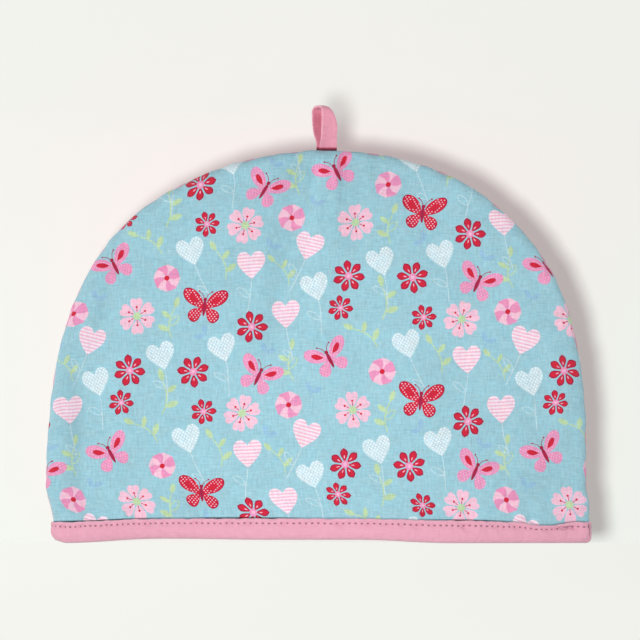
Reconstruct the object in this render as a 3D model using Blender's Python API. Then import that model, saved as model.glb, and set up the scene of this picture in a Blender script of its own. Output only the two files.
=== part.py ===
"""A padded dome tea cosy that stands on its bound hem: two padded panels sewn together along the
curved seam, a binding folded over the hem, and a hanging loop held in the top of the seam.

Metres, +Z up, the front towards -Y. The origin is the middle of the hem, on the surface that the cosy
stands on.
"""

import math

import bmesh
import bpy
from mathutils import Vector

# Driving sizes
WIDTH = 0.340  # across the side seams
HEIGHT = 0.247  # from the hem to the top of the seam
DEPTH = 0.130  # front to back at the hem, over the panels
PADDING = 0.008  # one panel: printed cloth, wadding and lining
GAP = 0.0003  # kept between pieces that touch

# Shape of the dome
OUTLINE_POWER = 3.65  # how square the shoulders are, seen from the front
TAPER = 0.35  # share of the depth that is lost from the hem to the top
INNER_POWER = 0.9  # how full the lining's section is
SIDE_WALL = 0.008  # from the side seam in to the lining
TOP_WALL = 0.009  # from the top of the seam down to the lining
RIM = 0.007  # how far in from the seam the padding is rounded
INNER_RIM = 0.0135  # the lining's rim, which is flat
SEAM_ANGLE = math.radians(-35)  # how far the rounding turns back into the seam

# Lower edge
EDGE_SQUEEZE_OUT = 0.0022  # how far the binding presses the outer face in
EDGE_SQUEEZE_IN = 0.0008  # how far it presses the lining out
SQUEEZE_REACH = 0.017  # height above the binding over which the padding swells again

# Hem binding, a strip folded over the lower edge of both panels
BINDING_HEIGHT = 0.0132
BINDING_INSIDE = 0.0120
BINDING_CLOTH = 0.0013
BINDING_PUFF = 0.0004  # how far the middle of the outer leg swells
FOLD_LOW = 0.0008  # the rounded fold at the bottom: height and inset of its middle and its end
FOLD_HIGH = 0.0030
FOLD_INSET_MIDDLE = 0.0007
FOLD_INSET_END = 0.0019

# Hanging loop, a folded strap
LOOP_WIDTH = 0.0107
LOOP_CLOTH = 0.0013
LOOP_SIDE = 0.0011  # how round the strap's two edges are, across its width
LOOP_X = 0.0052  # its middle, from the middle of the hem
LOOP_YAW = math.radians(27)  # how far its upper part is turned
LOOP_TURN_HEIGHT = 0.011  # height above the seam by which it is turned
LOOP_TAIL = 0.0075  # length of strap held in the seam

# Facets
COLUMNS_BETWEEN_RIMS = 38
ROWS_BETWEEN_RIMS = 11
RIM_SHARES = [0.0, 0.30, 0.64]  # lines across the rounded rim, from the seam inwards
SWELL_HEIGHTS = [0.0005, 0.0055, 0.0145]  # lines above the binding
LOOP_STEPS = 42
MERGE = 0.00001

# How far the middle of the dome sways to the right, by height
SWAY = [
    dict(height=0.000, right=0.0007),
    dict(height=0.013, right=0.0006),
    dict(height=0.044, right=-0.0022),
    dict(height=0.110, right=-0.0010),
    dict(height=0.155, right=0.0001),
    dict(height=0.205, right=0.0004),
    dict(height=0.230, right=0.0034),
    dict(height=0.247, right=0.0044),
]
# Troughs that fan out below the loop, from the seam down to a foot. A negative depth is a ridge.
FRONT_FOLDS = [
    dict(top_x=-0.0180, foot_x=-0.0330, foot_z=0.140, half_width=0.0100, depth=0.0020),
    dict(top_x=-0.0035, foot_x=-0.0065, foot_z=0.190, half_width=0.0085, depth=-0.0010),
    dict(top_x=0.0150, foot_x=0.0190, foot_z=0.195, half_width=0.0085, depth=0.0016),
]
BACK_FOLDS = [
    dict(top_x=0.0220, foot_x=0.0360, foot_z=0.150, half_width=0.0105, depth=0.0018),
    dict(top_x=-0.0070, foot_x=-0.0130, foot_z=0.190, half_width=0.0090, depth=0.0013),
]
# Long low arches where the hem lifts off the surface
FRONT_LIFTS = [
    dict(x=-0.086, reach=0.050, rise=0.0018),
    dict(x=0.030, reach=0.060, rise=0.0014),
]
BACK_LIFTS = [
    dict(x=-0.050, reach=0.060, rise=0.0014),
    dict(x=0.085, reach=0.046, rise=0.0016),
]
# Where the binding's upper edge rises or dips
FRONT_BAND_WAVES = [
    dict(x=0.080, reach=0.050, rise=0.0010),
    dict(x=0.141, reach=0.022, rise=-0.0022),
]
BACK_BAND_WAVES = [
    dict(x=-0.090, reach=0.060, rise=0.0011),
    dict(x=0.060, reach=0.045, rise=-0.0010),
]
# The strap's middle line, from the front end up, over and down to the rear end:
# distance from the loop's middle, towards the back, and height above the top of the seam
LOOP_PATH = [
    dict(back=-0.0008, up=-LOOP_TAIL),
    dict(back=-0.0008, up=0.0000),
    dict(back=-0.0023, up=0.0045),
    dict(back=-0.0046, up=0.0095),
    dict(back=-0.0061, up=0.0150),
    dict(back=-0.0060, up=0.0205),
    dict(back=-0.0043, up=0.0252),
    dict(back=-0.0012, up=0.0277),
    dict(back=0.0022, up=0.0274),
    dict(back=0.0050, up=0.0245),
    dict(back=0.0063, up=0.0198),
    dict(back=0.0062, up=0.0145),
    dict(back=0.0047, up=0.0092),
    dict(back=0.0024, up=0.0045),
    dict(back=0.0008, up=0.0000),
    dict(back=0.0008, up=-LOOP_TAIL),
]

CLOTH_COLOURS = {
    "front_panel": (0.35, 0.61, 0.68),
    "back_panel": (0.78, 0.42, 0.52),
    "hem_binding": (0.80, 0.40, 0.52),
    "hanging_loop": (0.78, 0.33, 0.45),
}
CLOTH_ROUGHNESS = 0.85
SHARP_EDGE = math.radians(50)


def smoothstep(low, high, value):
    t = min(1.0, max(0.0, (value - low) / (high - low)))
    return t * t * (3 - 2 * t)


def hump(distance, reach):
    """1 at no distance, falling smoothly to 0 at the reach."""
    if abs(distance) >= reach:
        return 0.0
    return math.cos(math.pi / 2 * distance / reach) ** 2


def waves(table, x):
    return sum(row["rise"] * hump(x - row["x"], row["reach"]) for row in table)


def sway(z):
    for low, high in zip(SWAY, SWAY[1:]):
        if z <= high["height"]:
            share = smoothstep(low["height"], high["height"], z)
            return low["right"] + (high["right"] - low["right"]) * share
    return SWAY[-1]["right"]


class Skin:
    """One face of a panel, laid out on a grid that fits the dome's outline.

    Inside, the grid's lines run level near the hem and bend to follow the seam at the top. Its last few
    lines at the sides and the top are rims, parallel to the seam. Column 0 is the right side seam.
    """

    def __init__(self, side, inner):
        self.side = side
        self.inner = inner
        self.half_width = WIDTH / 2 - (SIDE_WALL if inner else 0)
        self.height = HEIGHT - (TOP_WALL if inner else 0)
        self.rim = INNER_RIM if inner else RIM
        self.bulge = DEPTH / 2 - PADDING
        self.folds = FRONT_FOLDS if side < 0 else BACK_FOLDS
        self.lifts = FRONT_LIFTS if side < 0 else BACK_LIFTS
        self.band_waves = FRONT_BAND_WAVES if side < 0 else BACK_BAND_WAVES
        self.across = [1 - 2 * i / COLUMNS_BETWEEN_RIMS for i in range(COLUMNS_BETWEEN_RIMS + 1)]
        self.up = self.row_places()
        self.columns = len(self.across) - 1 + 2 * len(RIM_SHARES)
        self.rows = len(self.up) - 1 + len(RIM_SHARES)

    def row_places(self):
        """Places up the grid, from about 0 at the hem to 1 at the foot of the upper rim."""
        top = self.height - self.rim
        heights = [BINDING_CLOTH + GAP] + [BINDING_HEIGHT + h for h in SWELL_HEIGHTS]
        last = heights.pop()
        heights += [last + (top - last) * i / ROWS_BETWEEN_RIMS for i in range(ROWS_BETWEEN_RIMS + 1)]
        return [(z / top) ** (OUTLINE_POWER / 2) for z in heights]

    def point(self, column, row):
        """The place of a corner of the grid."""
        rims = len(RIM_SHARES)
        within_column = min(max(column - rims, 0), len(self.across) - 1)
        within_row = min(row, len(self.up) - 1)
        ring = max(abs(column - rims - within_column), row - within_row)
        u = self.across[within_column]
        v = self.up[within_row]
        x = (self.half_width - self.rim) * u * math.sqrt(1 - v**2 + v**4 / 2)
        z = (self.height - self.rim) * (v * math.sqrt(1 - (u * v) ** 2 / 2)) ** (2 / OUTLINE_POWER)
        share = RIM_SHARES[rims - ring] if ring else 1
        x, y, z = (self.lining if self.inner else self.padded)(x, z, share)
        x, y = self.squeezed(x, y, z)
        x += sway(z)
        fade = 1 - smoothstep(BINDING_HEIGHT, 4 * BINDING_HEIGHT, z)
        lift = waves(self.lifts, x) * fade
        wave = waves(self.band_waves, x) * hump(z - BINDING_HEIGHT, BINDING_HEIGHT - BINDING_CLOTH - GAP)
        return Vector((x, self.side * (y + GAP / 2), z + lift + wave))

    def outward(self, x, z, distance):
        """Moves a point away from the middle of the panel, square to the seam."""
        across = x / (WIDTH / 2) ** 2
        rise = OUTLINE_POWER / 2 * (z / HEIGHT) ** (OUTLINE_POWER - 1) / HEIGHT
        way = Vector((across, rise)).normalized()
        return x + way.x * distance, z + way.y * distance

    def depth_at(self, x, z):
        """How far the face stands from the plane of the seam, before any padding."""
        inside = 1 - (x / self.half_width) ** 2 - (z / self.height) ** OUTLINE_POWER
        taper = 1 - TAPER * (z / HEIGHT) ** 1.5
        return self.bulge * taper * max(0.0, inside) ** (INNER_POWER if self.inner else 1)

    def lining(self, x, z, share):
        x, z = self.outward(x, z, self.rim * (1 - share))
        return x, self.depth_at(x, z) if share else 0.0, z

    def padded(self, x, z, share):
        """A point of the outer face, which is rounded over at the rim and drawn into the seam."""
        angle = SEAM_ANGLE + (math.pi / 2 - SEAM_ANGLE) * share
        rounding = (math.sin(angle) - math.sin(SEAM_ANGLE)) / (1 - math.sin(SEAM_ANGLE))
        depth = self.depth_at(x, z) * share + (PADDING - self.fold_depth(x, z) * share) * rounding
        x, z = self.outward(x, z, self.rim * math.cos(angle))
        return x, depth, z

    def fold_depth(self, x, z):
        deep = 0.0
        for fold in self.folds:
            down = (HEIGHT - z) / (HEIGHT - fold["foot_z"])
            if down < 1:
                middle = fold["top_x"] + (fold["foot_x"] - fold["top_x"]) * down
                deep += fold["depth"] * hump(x - middle, fold["half_width"]) * (1 - down**2)
        return deep

    def squeezed(self, x, y, z):
        """Presses the lower edge thinner, where the binding holds it."""
        amount = -EDGE_SQUEEZE_IN if self.inner else EDGE_SQUEEZE_OUT
        amount *= 1 - smoothstep(BINDING_HEIGHT, BINDING_HEIGHT + SQUEEZE_REACH, z)
        normal = Vector((2 * self.bulge * x / self.half_width**2, 1)).normalized()
        edge = min(1.0, y / PADDING)
        return x - amount * normal.x * edge, y - amount * normal.y * edge


def mapped_grid(bm, columns, rows, place):
    """A grid of quads whose corners are put where place(column, row) says."""
    made = bmesh.ops.create_grid(bm, x_segments=columns, y_segments=rows, size=0.5)
    for vert in made["verts"]:
        column = round((vert.co.x + 0.5) * columns)
        row = round((vert.co.y + 0.5) * rows)
        vert.co = place(column, row)
    return made["verts"]


def finished(name, bm, collection):
    """Turns a closed shape into an object with smooth shading and a cloth material."""
    bmesh.ops.recalc_face_normals(bm, faces=bm.faces)
    mesh = bpy.data.meshes.new(name)
    bm.to_mesh(mesh)
    bm.free()
    mesh.shade_smooth()
    mesh.set_sharp_from_angle(angle=SHARP_EDGE)
    obj = bpy.data.objects.new(name, mesh)
    collection.objects.link(obj)
    material = bpy.data.materials.new(name)
    material.use_nodes = True
    shader = material.node_tree.nodes["Principled BSDF"]
    shader.inputs["Base Color"].default_value = (*CLOTH_COLOURS[name], 1)
    shader.inputs["Roughness"].default_value = CLOTH_ROUGHNESS
    shader.inputs["Metallic"].default_value = 0
    mesh.materials.append(material)
    return obj


def panel(name, outer, lining, collection):
    """A padded panel: its outer face and its lining face, joined along the seam and the hem."""
    bm = bmesh.new()
    for skin in (outer, lining):
        mapped_grid(bm, skin.columns, skin.rows, skin.point)
    bmesh.ops.remove_doubles(bm, verts=bm.verts, dist=MERGE)
    rims = [edge for edge in bm.edges if edge.is_boundary]
    bmesh.ops.bridge_loops(bm, edges=rims)
    return finished(name, bm, collection)


def ring(front, back, row):
    """Points of a skin right round the cosy at one grid row, with the way out at each of them."""
    columns = range(1, front.columns)
    points = [back.point(c, row) for c in columns] + [front.point(c, row) for c in reversed(columns)]
    around = []
    for i, point in enumerate(points):
        before = (point - points[i - 1]).xy.normalized()
        after = (points[(i + 1) % len(points)] - point).xy.normalized()
        out = Vector((before.y + after.y, -before.x - after.x)).normalized()
        along = Vector((before.y, -before.x))
        around.append((point, out / max(0.5, out.dot(along))))
    return around


def hem_binding(front_skins, back_skins, collection):
    """The strip folded over the hem: an outer leg, a rounded fold that the cosy stands on, an inner leg."""
    outer = [ring(front_skins[0], back_skins[0], row) for row in (0, 1)]
    inner = [ring(front_skins[1], back_skins[1], row) for row in (0, 1)]
    near = GAP
    far = GAP + BINDING_CLOTH
    low, high = 0, 1
    # Face that the leg lies on, grid row, distance out from that face, height
    section = [
        (outer, high, near, BINDING_HEIGHT - GAP),
        (outer, high, (near + far) / 2, BINDING_HEIGHT),
        (outer, high, far, BINDING_HEIGHT - FOLD_LOW),
        (outer, high, far + BINDING_PUFF, BINDING_HEIGHT / 2),
        (outer, low, far, FOLD_HIGH),
        (outer, low, far - FOLD_INSET_MIDDLE, FOLD_LOW),
        (outer, low, far - FOLD_INSET_END, 0),
        (inner, low, far - FOLD_INSET_END, 0),
        (inner, low, far - FOLD_INSET_MIDDLE, FOLD_LOW),
        (inner, low, far, FOLD_HIGH),
        (inner, high, far, BINDING_INSIDE),
        (inner, high, near, BINDING_INSIDE),
        (inner, low, near, BINDING_CLOTH),
        (outer, low, near, BINDING_CLOTH),
    ]
    around = len(outer[0])

    def place(column, row):
        face, level, out, height = section[row % len(section)]
        point, normal = face[level][column % around]
        way = out if face is outer else -out
        lifts, band_waves = (BACK_LIFTS, BACK_BAND_WAVES) if point.y > 0 else (FRONT_LIFTS, FRONT_BAND_WAVES)
        rise = waves(lifts, point.x) + waves(band_waves, point.x) * height / BINDING_HEIGHT
        return Vector((point.x + way * normal.x, point.y + way * normal.y, height + rise))

    bm = bmesh.new()
    mapped_grid(bm, around, len(section), place)
    bmesh.ops.remove_doubles(bm, verts=bm.verts, dist=MERGE)
    return finished("hem_binding", bm, collection)


def smooth_route(steps):
    """Evenly numbered points along the loop's path, on a curve through the points of the table."""
    knots = [Vector((row["back"], row["up"])) for row in LOOP_PATH]
    ends = [2 * knots[0] - knots[1], *knots, 2 * knots[-1] - knots[-2]]
    spans = len(knots) - 1
    route = []
    for i in range(steps + 1):
        span = min(spans - 1, int(i * spans / steps))
        t = i * spans / steps - span
        a, b, c, d = ends[span : span + 4]
        point = b * 2 + (c - a) * t + (2 * a - 5 * b + 4 * c - d) * t**2 + (3 * b - a - 3 * c + d) * t**3
        route.append(point / 2)
    return route


def hanging_loop(collection):
    """The strap: a flat section swept along the loop's path, turned a little more the higher it is."""
    route = smooth_route(LOOP_STEPS)
    half, thick = LOOP_WIDTH / 2, LOOP_CLOTH / 2
    # Across the strap, through its thickness
    section = [
        (-half, 0),
        (-half + LOOP_SIDE, -thick),
        (half - LOOP_SIDE, -thick),
        (half, 0),
        (half - LOOP_SIDE, thick),
        (-half + LOOP_SIDE, thick),
    ]

    def place(column, row):
        across, through = section[column % len(section)]
        before = route[max(0, row - 1)]
        after = route[min(LOOP_STEPS, row + 1)]
        along = (after - before).normalized()
        back = route[row].x + through * along.y
        up = route[row].y - through * along.x
        yaw = LOOP_YAW * smoothstep(0, LOOP_TURN_HEIGHT, up)
        x = across * math.cos(yaw) - back * math.sin(yaw)
        y = across * math.sin(yaw) + back * math.cos(yaw)
        return Vector((LOOP_X + x, y, HEIGHT + up))

    bm = bmesh.new()
    mapped_grid(bm, len(section), LOOP_STEPS, place)
    bmesh.ops.remove_doubles(bm, verts=bm.verts, dist=MERGE)
    bmesh.ops.holes_fill(bm, edges=[e for e in bm.edges if e.is_boundary])
    return finished("hanging_loop", bm, collection)


def cut_pocket(panels, collection):
    """Cuts the slot in the top of the seam that holds the loop's two ends."""
    slot = Vector((LOOP_WIDTH + 2 * GAP, 2 * LOOP_CLOTH + 3 * GAP, 2 * (LOOP_TAIL + GAP)))
    bpy.ops.mesh.primitive_cube_add(size=1, location=(LOOP_X, 0, HEIGHT))
    cutter = bpy.context.object
    cutter.name = "loop_pocket"
    for vert in cutter.data.vertices:
        vert.co *= slot
    cutter.hide_render = True
    cutter.display_type = "WIRE"
    for owner in cutter.users_collection:
        owner.objects.unlink(cutter)
    collection.objects.link(cutter)
    for part in panels:
        cut = part.modifiers.new("loop pocket", "BOOLEAN")
        cut.operation = "DIFFERENCE"
        cut.solver = "EXACT"
        cut.object = cutter


def new_collection(name):
    collection = bpy.data.collections.new(name)
    bpy.context.scene.collection.children.link(collection)
    return collection


def main():
    for obj in list(bpy.data.objects):
        bpy.data.objects.remove(obj, do_unlink=True)
    pieces = new_collection("tea cosy")
    cutters = new_collection("cutters")
    front_skins = [Skin(-1, inner=False), Skin(-1, inner=True)]
    back_skins = [Skin(1, inner=False), Skin(1, inner=True)]
    front = panel("front_panel", *front_skins, pieces)
    back = panel("back_panel", *back_skins, pieces)
    hem_binding(front_skins, back_skins, pieces)
    hanging_loop(pieces)
    cut_pocket([front, back], cutters)


main()
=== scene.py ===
import math

import bmesh
import bpy
import numpy as np
from bpy.props import FloatProperty, FloatVectorProperty, PointerProperty
from bpy.types import Operator, Panel, PropertyGroup
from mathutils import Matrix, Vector
from mathutils.geometry import delaunay_2d_cdt


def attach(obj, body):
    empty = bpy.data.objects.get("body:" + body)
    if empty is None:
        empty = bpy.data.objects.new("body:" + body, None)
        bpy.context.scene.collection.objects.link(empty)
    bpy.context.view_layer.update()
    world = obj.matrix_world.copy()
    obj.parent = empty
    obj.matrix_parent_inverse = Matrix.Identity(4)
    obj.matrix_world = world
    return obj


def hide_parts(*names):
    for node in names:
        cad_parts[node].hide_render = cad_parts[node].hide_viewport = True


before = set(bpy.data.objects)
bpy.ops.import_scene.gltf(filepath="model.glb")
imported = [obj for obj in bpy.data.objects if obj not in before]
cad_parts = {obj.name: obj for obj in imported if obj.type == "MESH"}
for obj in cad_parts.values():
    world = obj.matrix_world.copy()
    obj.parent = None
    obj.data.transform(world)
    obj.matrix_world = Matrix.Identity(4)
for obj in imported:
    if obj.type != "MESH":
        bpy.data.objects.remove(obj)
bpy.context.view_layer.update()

bl_info = {
    "name": "Tea cosy",
    "version": (1, 0, 0),
    "blender": (4, 5, 0),
    "location": "3D View > Sidebar > Tea cosy",
    "description": "Makes a padded, printed tea cosy with a bound hem and a hanging loop",
    "category": "Add Mesh",
}

FRONT, BACK = -1, 1
OUTER, INNER = "outer", "inner"


def table(keys, *rows):
    """Rows of sizes, each as a dictionary with the same keys."""
    return [dict(zip(keys.split(), row)) for row in rows]


def by_side(keys, front, back):
    return {FRONT: table(keys, *front), BACK: table(keys, *back)}


# ---------------------------------------------------------------- shape of the dome, in metres

OUTLINE_POWER = 3.65  # how square the shoulders are
TAPER = 0.35  # share of the depth that is lost from the hem to the top
TAPER_POWER = 1.5
INNER_POWER = 0.9  # how full the lining's section is
GAP = 0.0003  # between pieces that touch
SIDE_WALL = 0.008  # from the side seam in to the lining
TOP_WALL = 0.009
RIM = 0.007  # how far in from the seam the padding is rounded
RIM_CLOTH = 0.0128  # length of cloth over the rounded rim
RIM_EASE = 1.6  # how late the dome's own curve begins across the rim
SEAM_ANGLE = math.radians(-35)  # how far the rim has rounded under where it meets the seam
HEM_HEIGHT = 0.0016  # lower edge of the panels, inside the binding
EDGE_SQUEEZE_OUT = 0.0022  # how far the binding presses the padding in
EDGE_SQUEEZE_IN = 0.0008  # and the lining
SQUEEZE_REACH = 0.017  # how far above the binding that ends
PINCH_LEFT = 0.0100  # share by which the binding draws the hem's left end in
PINCH_RIGHT = 0.0060  # and its right end
PINCH_ACROSS = (0.130, 0.168)  # where that begins and is full, from the middle
PINCH_UP = (0.008, 0.030)  # and where it is full and ends, by height
MOUTH = 0.00165  # how far the seam opens on each side to take the loop's ends
MOUTH_ACROSS = (0.0065, 0.0108)  # where it closes, from the loop's middle
MOUTH_DOWN = (0.017, 0.010)  # where it opens, from the top of the seam
MOUTH_DEPTH = 0.007  # and how far in from the seam it closes
NEAR_EDGE = 12.5  # turns the outline's own measure into metres in from the seam
SEAM_BAND = (0.0005, 0.004), (0.006, 0.021)  # where the seam's drags begin and end, in from the edge
HEM_BAND = (0.011, 0.016), (0.018, 0.034)  # and the hem's, by height
SWELL_IN = (0.004, 0.030)  # where the broad waves set in, in from the edge
SWELL_UP = (0.014, 0.045)  # and by height
FULL_SHADE_DEPTH = 0.0024  # a fold or dent this deep gets the full painted shade
SHADE_LIMITS = (-0.7, 2.6)  # the least painted shade, below zero so a ridge is painted lighter, and the most
PAINTED_SHADE_AT_FULL = 0.095  # painted shade at full
FRONT_MESH = 0.0023  # from one point to the next on the front's cloth
BACK_MESH = 0.0030
LINING_MESH = 2.2  # times as wide
LINING_EDGE = 0.985  # share of the lining's outline within which its inner points lie
LINING_PLACE = [0.5, 0]  # where the lining lies on the flat cloth, clear of the face
UNDERSIDE_PLACE = 0.02  # and the underside of the strap

# How far the dome leans to the right, by height
SWAY = table(
    "height right",
    (0.000, 0.0007), (0.013, 0.0006), (0.036, -0.0022), (0.110, -0.0010), (0.155, 0.0001), (0.205, 0.0004),
    (0.230, 0.0034), (0.247, 0.0044),
)
# Troughs that fan out below the loop, on the front and on the back. A negative depth is a ridge.
FOLDS = by_side(
    "top_x foot_x foot_z half_width depth",
    [
        (-0.0185, -0.0350, 0.124, 0.0100, 0.0032), (-0.0040, -0.0065, 0.150, 0.0090, -0.0028),
        (0.0140, 0.0190, 0.185, 0.0095, 0.0030), (0.0092, 0.0125, 0.212, 0.0048, 0.0030),
        (-0.0110, -0.0150, 0.190, 0.0042, 0.0012), (-0.0280, -0.0370, 0.190, 0.0056, 0.0014),
        (0.0300, 0.0350, 0.205, 0.0060, 0.0015),
    ],
    [(0.0220, 0.0360, 0.150, 0.0105, 0.0018), (-0.0070, -0.0130, 0.190, 0.0090, 0.0013)],
)
# Places where the hem lifts off the floor
LIFTS = by_side(
    "x reach rise",
    [(-0.172, 0.013, 0.0028), (-0.100, 0.062, 0.0028), (-0.040, 0.062, 0.0022), (0.022, 0.062, 0.0022)],
    [(-0.172, 0.013, 0.0028), (-0.096, 0.064, 0.0032), (-0.034, 0.060, 0.0025), (0.026, 0.063, 0.0026)],
)
# Where the binding's upper edge rises or falls
BAND_WAVES = by_side(
    "x reach rise",
    [(-0.172, 0.013, -0.0024), (-0.100, 0.062, -0.0008), (0.080, 0.050, 0.0010), (0.141, 0.022, -0.0022)],
    [(-0.172, 0.013, -0.0024), (-0.090, 0.060, 0.0007), (0.060, 0.045, -0.0010)],
)
# Broad soft waves of the padding
SWELLS = by_side(
    "length turn phase height",
    [
        (0.083, 18, 0.6, 0.00050), (0.056, 112, 2.1, 0.00024), (0.041, 34, 4.0, 0.00030),
        (0.029, 171, 1.3, 0.00020), (0.019, 76, 5.2, 0.00010),
    ],
    [(0.091, -24, 1.9, 0.00042), (0.061, 75, 0.3, 0.00026), (0.037, 128, 3.2, 0.00015)],
)
# Dents pushed into the padding, by half size and turn, and how much more painted shade than its depth a dent
# gets
DENTS = by_side(
    "x z half_width half_height turn depth shade",
    [
        (-0.1545, 0.066, 0.0066, 0.052, 2, 0.0022, 2.1), (-0.1400, 0.150, 0.0060, 0.034, -12, 0.0013, 2.0),
        (0.1500, 0.104, 0.0060, 0.034, 6, -0.0009), (0.1480, 0.040, 0.0140, 0.030, -12, 0.0008),
        (-0.0325, 0.150, 0.0064, 0.036, -9, 0.0014), (-0.0040, 0.150, 0.0075, 0.045, -3, -0.0010),
        (0.0170, 0.190, 0.0060, 0.026, 4, 0.0010), (-0.0550, 0.185, 0.0060, 0.026, -14, 0.0009),
        (-0.0900, 0.026, 0.0300, 0.010, 3, 0.0005), (0.0560, 0.028, 0.0240, 0.009, -4, 0.0005),
    ],
    [
        (0.1510, 0.070, 0.0075, 0.045, -3, 0.0008), (-0.0600, 0.095, 0.0220, 0.045, 24, 0.0007),
        (0.0500, 0.030, 0.0260, 0.010, 5, 0.0005),
    ],
)
# Small drags where the seam gathers the cloth, by distance round the dome
SEAM_DRAGS = table(
    "length phase height",
    (0.0127, 0.4, 0.00022), (0.0193, 2.6, 0.00028), (0.0410, 5.1, 0.00018),
)

# ---------------------------------------------------------------- hem binding

BINDING_HEIGHT = 0.0132
BAND_TOP = BINDING_HEIGHT + 0.0005
STITCH_HEIGHT = 0.0101
STRIP_DRAG = 0.00030  # how far the strip waves between its stitches
STITCH_PULL = 0.00022  # how deep each stitch pulls it in
EDGE_RIPPLE = 0.00020  # how far the strip's upper edge waves
UNDER_LAP = 0.0006  # how far the strip is pressed in beside the lap
END_OUT = 0.0018  # how far out the strip stands at the cosy's two ends
LEFT_TUCK = 0.0036  # how far the left end curls under
LEFT_TUCK_UP = 0.0090  # and up to what height
LEFT_LIFT = 0.0006  # how far its lower edge lifts
PINCH_AT = 0.1535  # the pinch in the stitch line, darkened with painted shade, from the middle of the hem
STITCH_SHARE = 0.40  # half a stitch's length, as a share of its spacing
STITCH_SKEW = 0.00013  # how far a stitch's ends lie above and below its line
STITCH_DIP = 0.00055  # how far a stitch's ends go into the cloth
STITCH_OUT = 0.0014  # how far a stitch's middle stands out from the padded face
HEM_STATION = 0.0014  # from one station to the next on the way round the hem
LAP_AT = 0.0034  # the strip's end laps its start this far from the right side seam
LAP_RISE = 0.0010  # and stands this proud
LAP_REACH = 0.010  # how far on it has come down to the strip's own level
MEASURED_COLUMN = 40  # the length of the section is measured here, clear of the lap
BAND_SHARE = 0.30  # how near the seam the strip turns the corner, as a share of the rim
LINING_RING = 0.158  # half the width at which the inner leg turns the corner
# The strip's section: leg, height, distance out from the padded face
BINDING_SECTION = [
    *[(OUTER, *row) for row in [
        (0.0129, 0.0003), (0.0132, 0.0009), (0.0130, 0.0015), (0.0124, 0.0019), (0.0116, 0.0019),
        (0.0108, 0.0015), (0.0101, 0.0011), (0.0093, 0.0015), (0.0082, 0.0020), (0.0066, 0.0023),
        (0.0050, 0.0022), (0.0034, 0.0019), (0.0020, 0.0013), (0.0009, 0.0006), (0.0002, -0.0004),
        (0.0000, -0.0014),
    ]],
    *[(INNER, *row) for row in [
        (0.0000, -0.0014), (0.0002, -0.0004), (0.0009, 0.0006), (0.0022, 0.0013), (0.0050, 0.0017),
        (0.0080, 0.0016), (0.0101, 0.0011), (0.0112, 0.0015), (0.0118, 0.0013), (0.0120, 0.0009),
        (0.0117, 0.0003), (0.0060, 0.0003), (0.0013, 0.0003),
    ]],
    *[(OUTER, *row) for row in [(0.0013, 0.0003), (0.0060, 0.0003)]],
]
# Creases in the front of the strip. The reach is up and down.
BAND_CREASES = table(
    "x height slant half_width reach depth",
    (0.1540, 0.0100, 4.5, 0.0030, 0.0026, 0.0015), (0.1460, 0.0106, 2.6, 0.0010, 0.0030, 0.0008),
    (0.0905, 0.0080, 0.9, 0.0008, 0.0046, 0.0005), (0.0935, 0.0075, 0.7, 0.0008, 0.0042, 0.0004),
    (-0.0520, 0.0070, -0.8, 0.0009, 0.0050, 0.0004), (-0.1180, 0.0078, 0.6, 0.0010, 0.0050, 0.0004),
    (0.0240, 0.0072, -0.6, 0.0009, 0.0046, 0.0004),
)
# Lengths and heights of the small waves along the strip
RIPPLES = ((0.0068, 0.35), (0.0107, 0.45), (0.0171, 0.5), (0.0293, 0.4), (0.063, 0.35))

# ---------------------------------------------------------------- hanging loop

LOOP_CLOTH = 0.0013  # thickness of the folded strap
LOOP_X = 0.0052
LOOP_YAW = math.radians(27)  # how far the loop is turned
LOOP_TURN_HEIGHT = 0.011  # in full from this far above the seam
LOOP_STEP = 0.0017  # how far to the left the strap's rear end is caught
LOOP_TAIL = 0.0075  # how far the strap's ends reach into the seam
LOOP_STEPS = 120  # stations along the strap
LOOP_SLANT = 0.0100  # how far the top of the strap falls to the right
LOOP_LEAN = 0.0020  # how far the loop leans to the left
# The strap's middle line, from its front end over the top to its rear end
LOOP_PATH = table(
    "back up",
    (-0.0008, -LOOP_TAIL), (-0.0008, 0.0000), (-0.0023, 0.0045), (-0.0046, 0.0095), (-0.0060, 0.0150),
    (-0.0063, 0.0208), (-0.0060, 0.0254), (-0.0040, 0.0275), (0.0005, 0.0279), (0.0048, 0.0275),
    (0.0072, 0.0252), (0.0070, 0.0212), (0.0062, 0.0150), (0.0044, 0.0098), (0.0019, 0.0049),
    (0.0008, 0.0000), (0.0008, -LOOP_TAIL),
)
# Round-edged section of the folded strap: across and through, as shares of its half width and thickness
STRAP_FACE = [
    (-1.0, 0.0), (-0.985, 0.45), (-0.93, 0.85), (-0.84, 1.06), (-0.72, 1.08), (-0.62, 0.92), (-0.50, 0.96),
    (-0.2, 0.98), (0.2, 0.98), (0.50, 0.97), (0.70, 1.00), (0.84, 1.02), (0.93, 0.85), (0.985, 0.45),
]
STRAP_UNDER = [(across, -through) for across, through in reversed(STRAP_FACE[1:])]
STRAP_SECTION = STRAP_FACE + [(1.0, 0.0)] + STRAP_UNDER

# ---------------------------------------------------------------- the print, in millimetres

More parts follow.
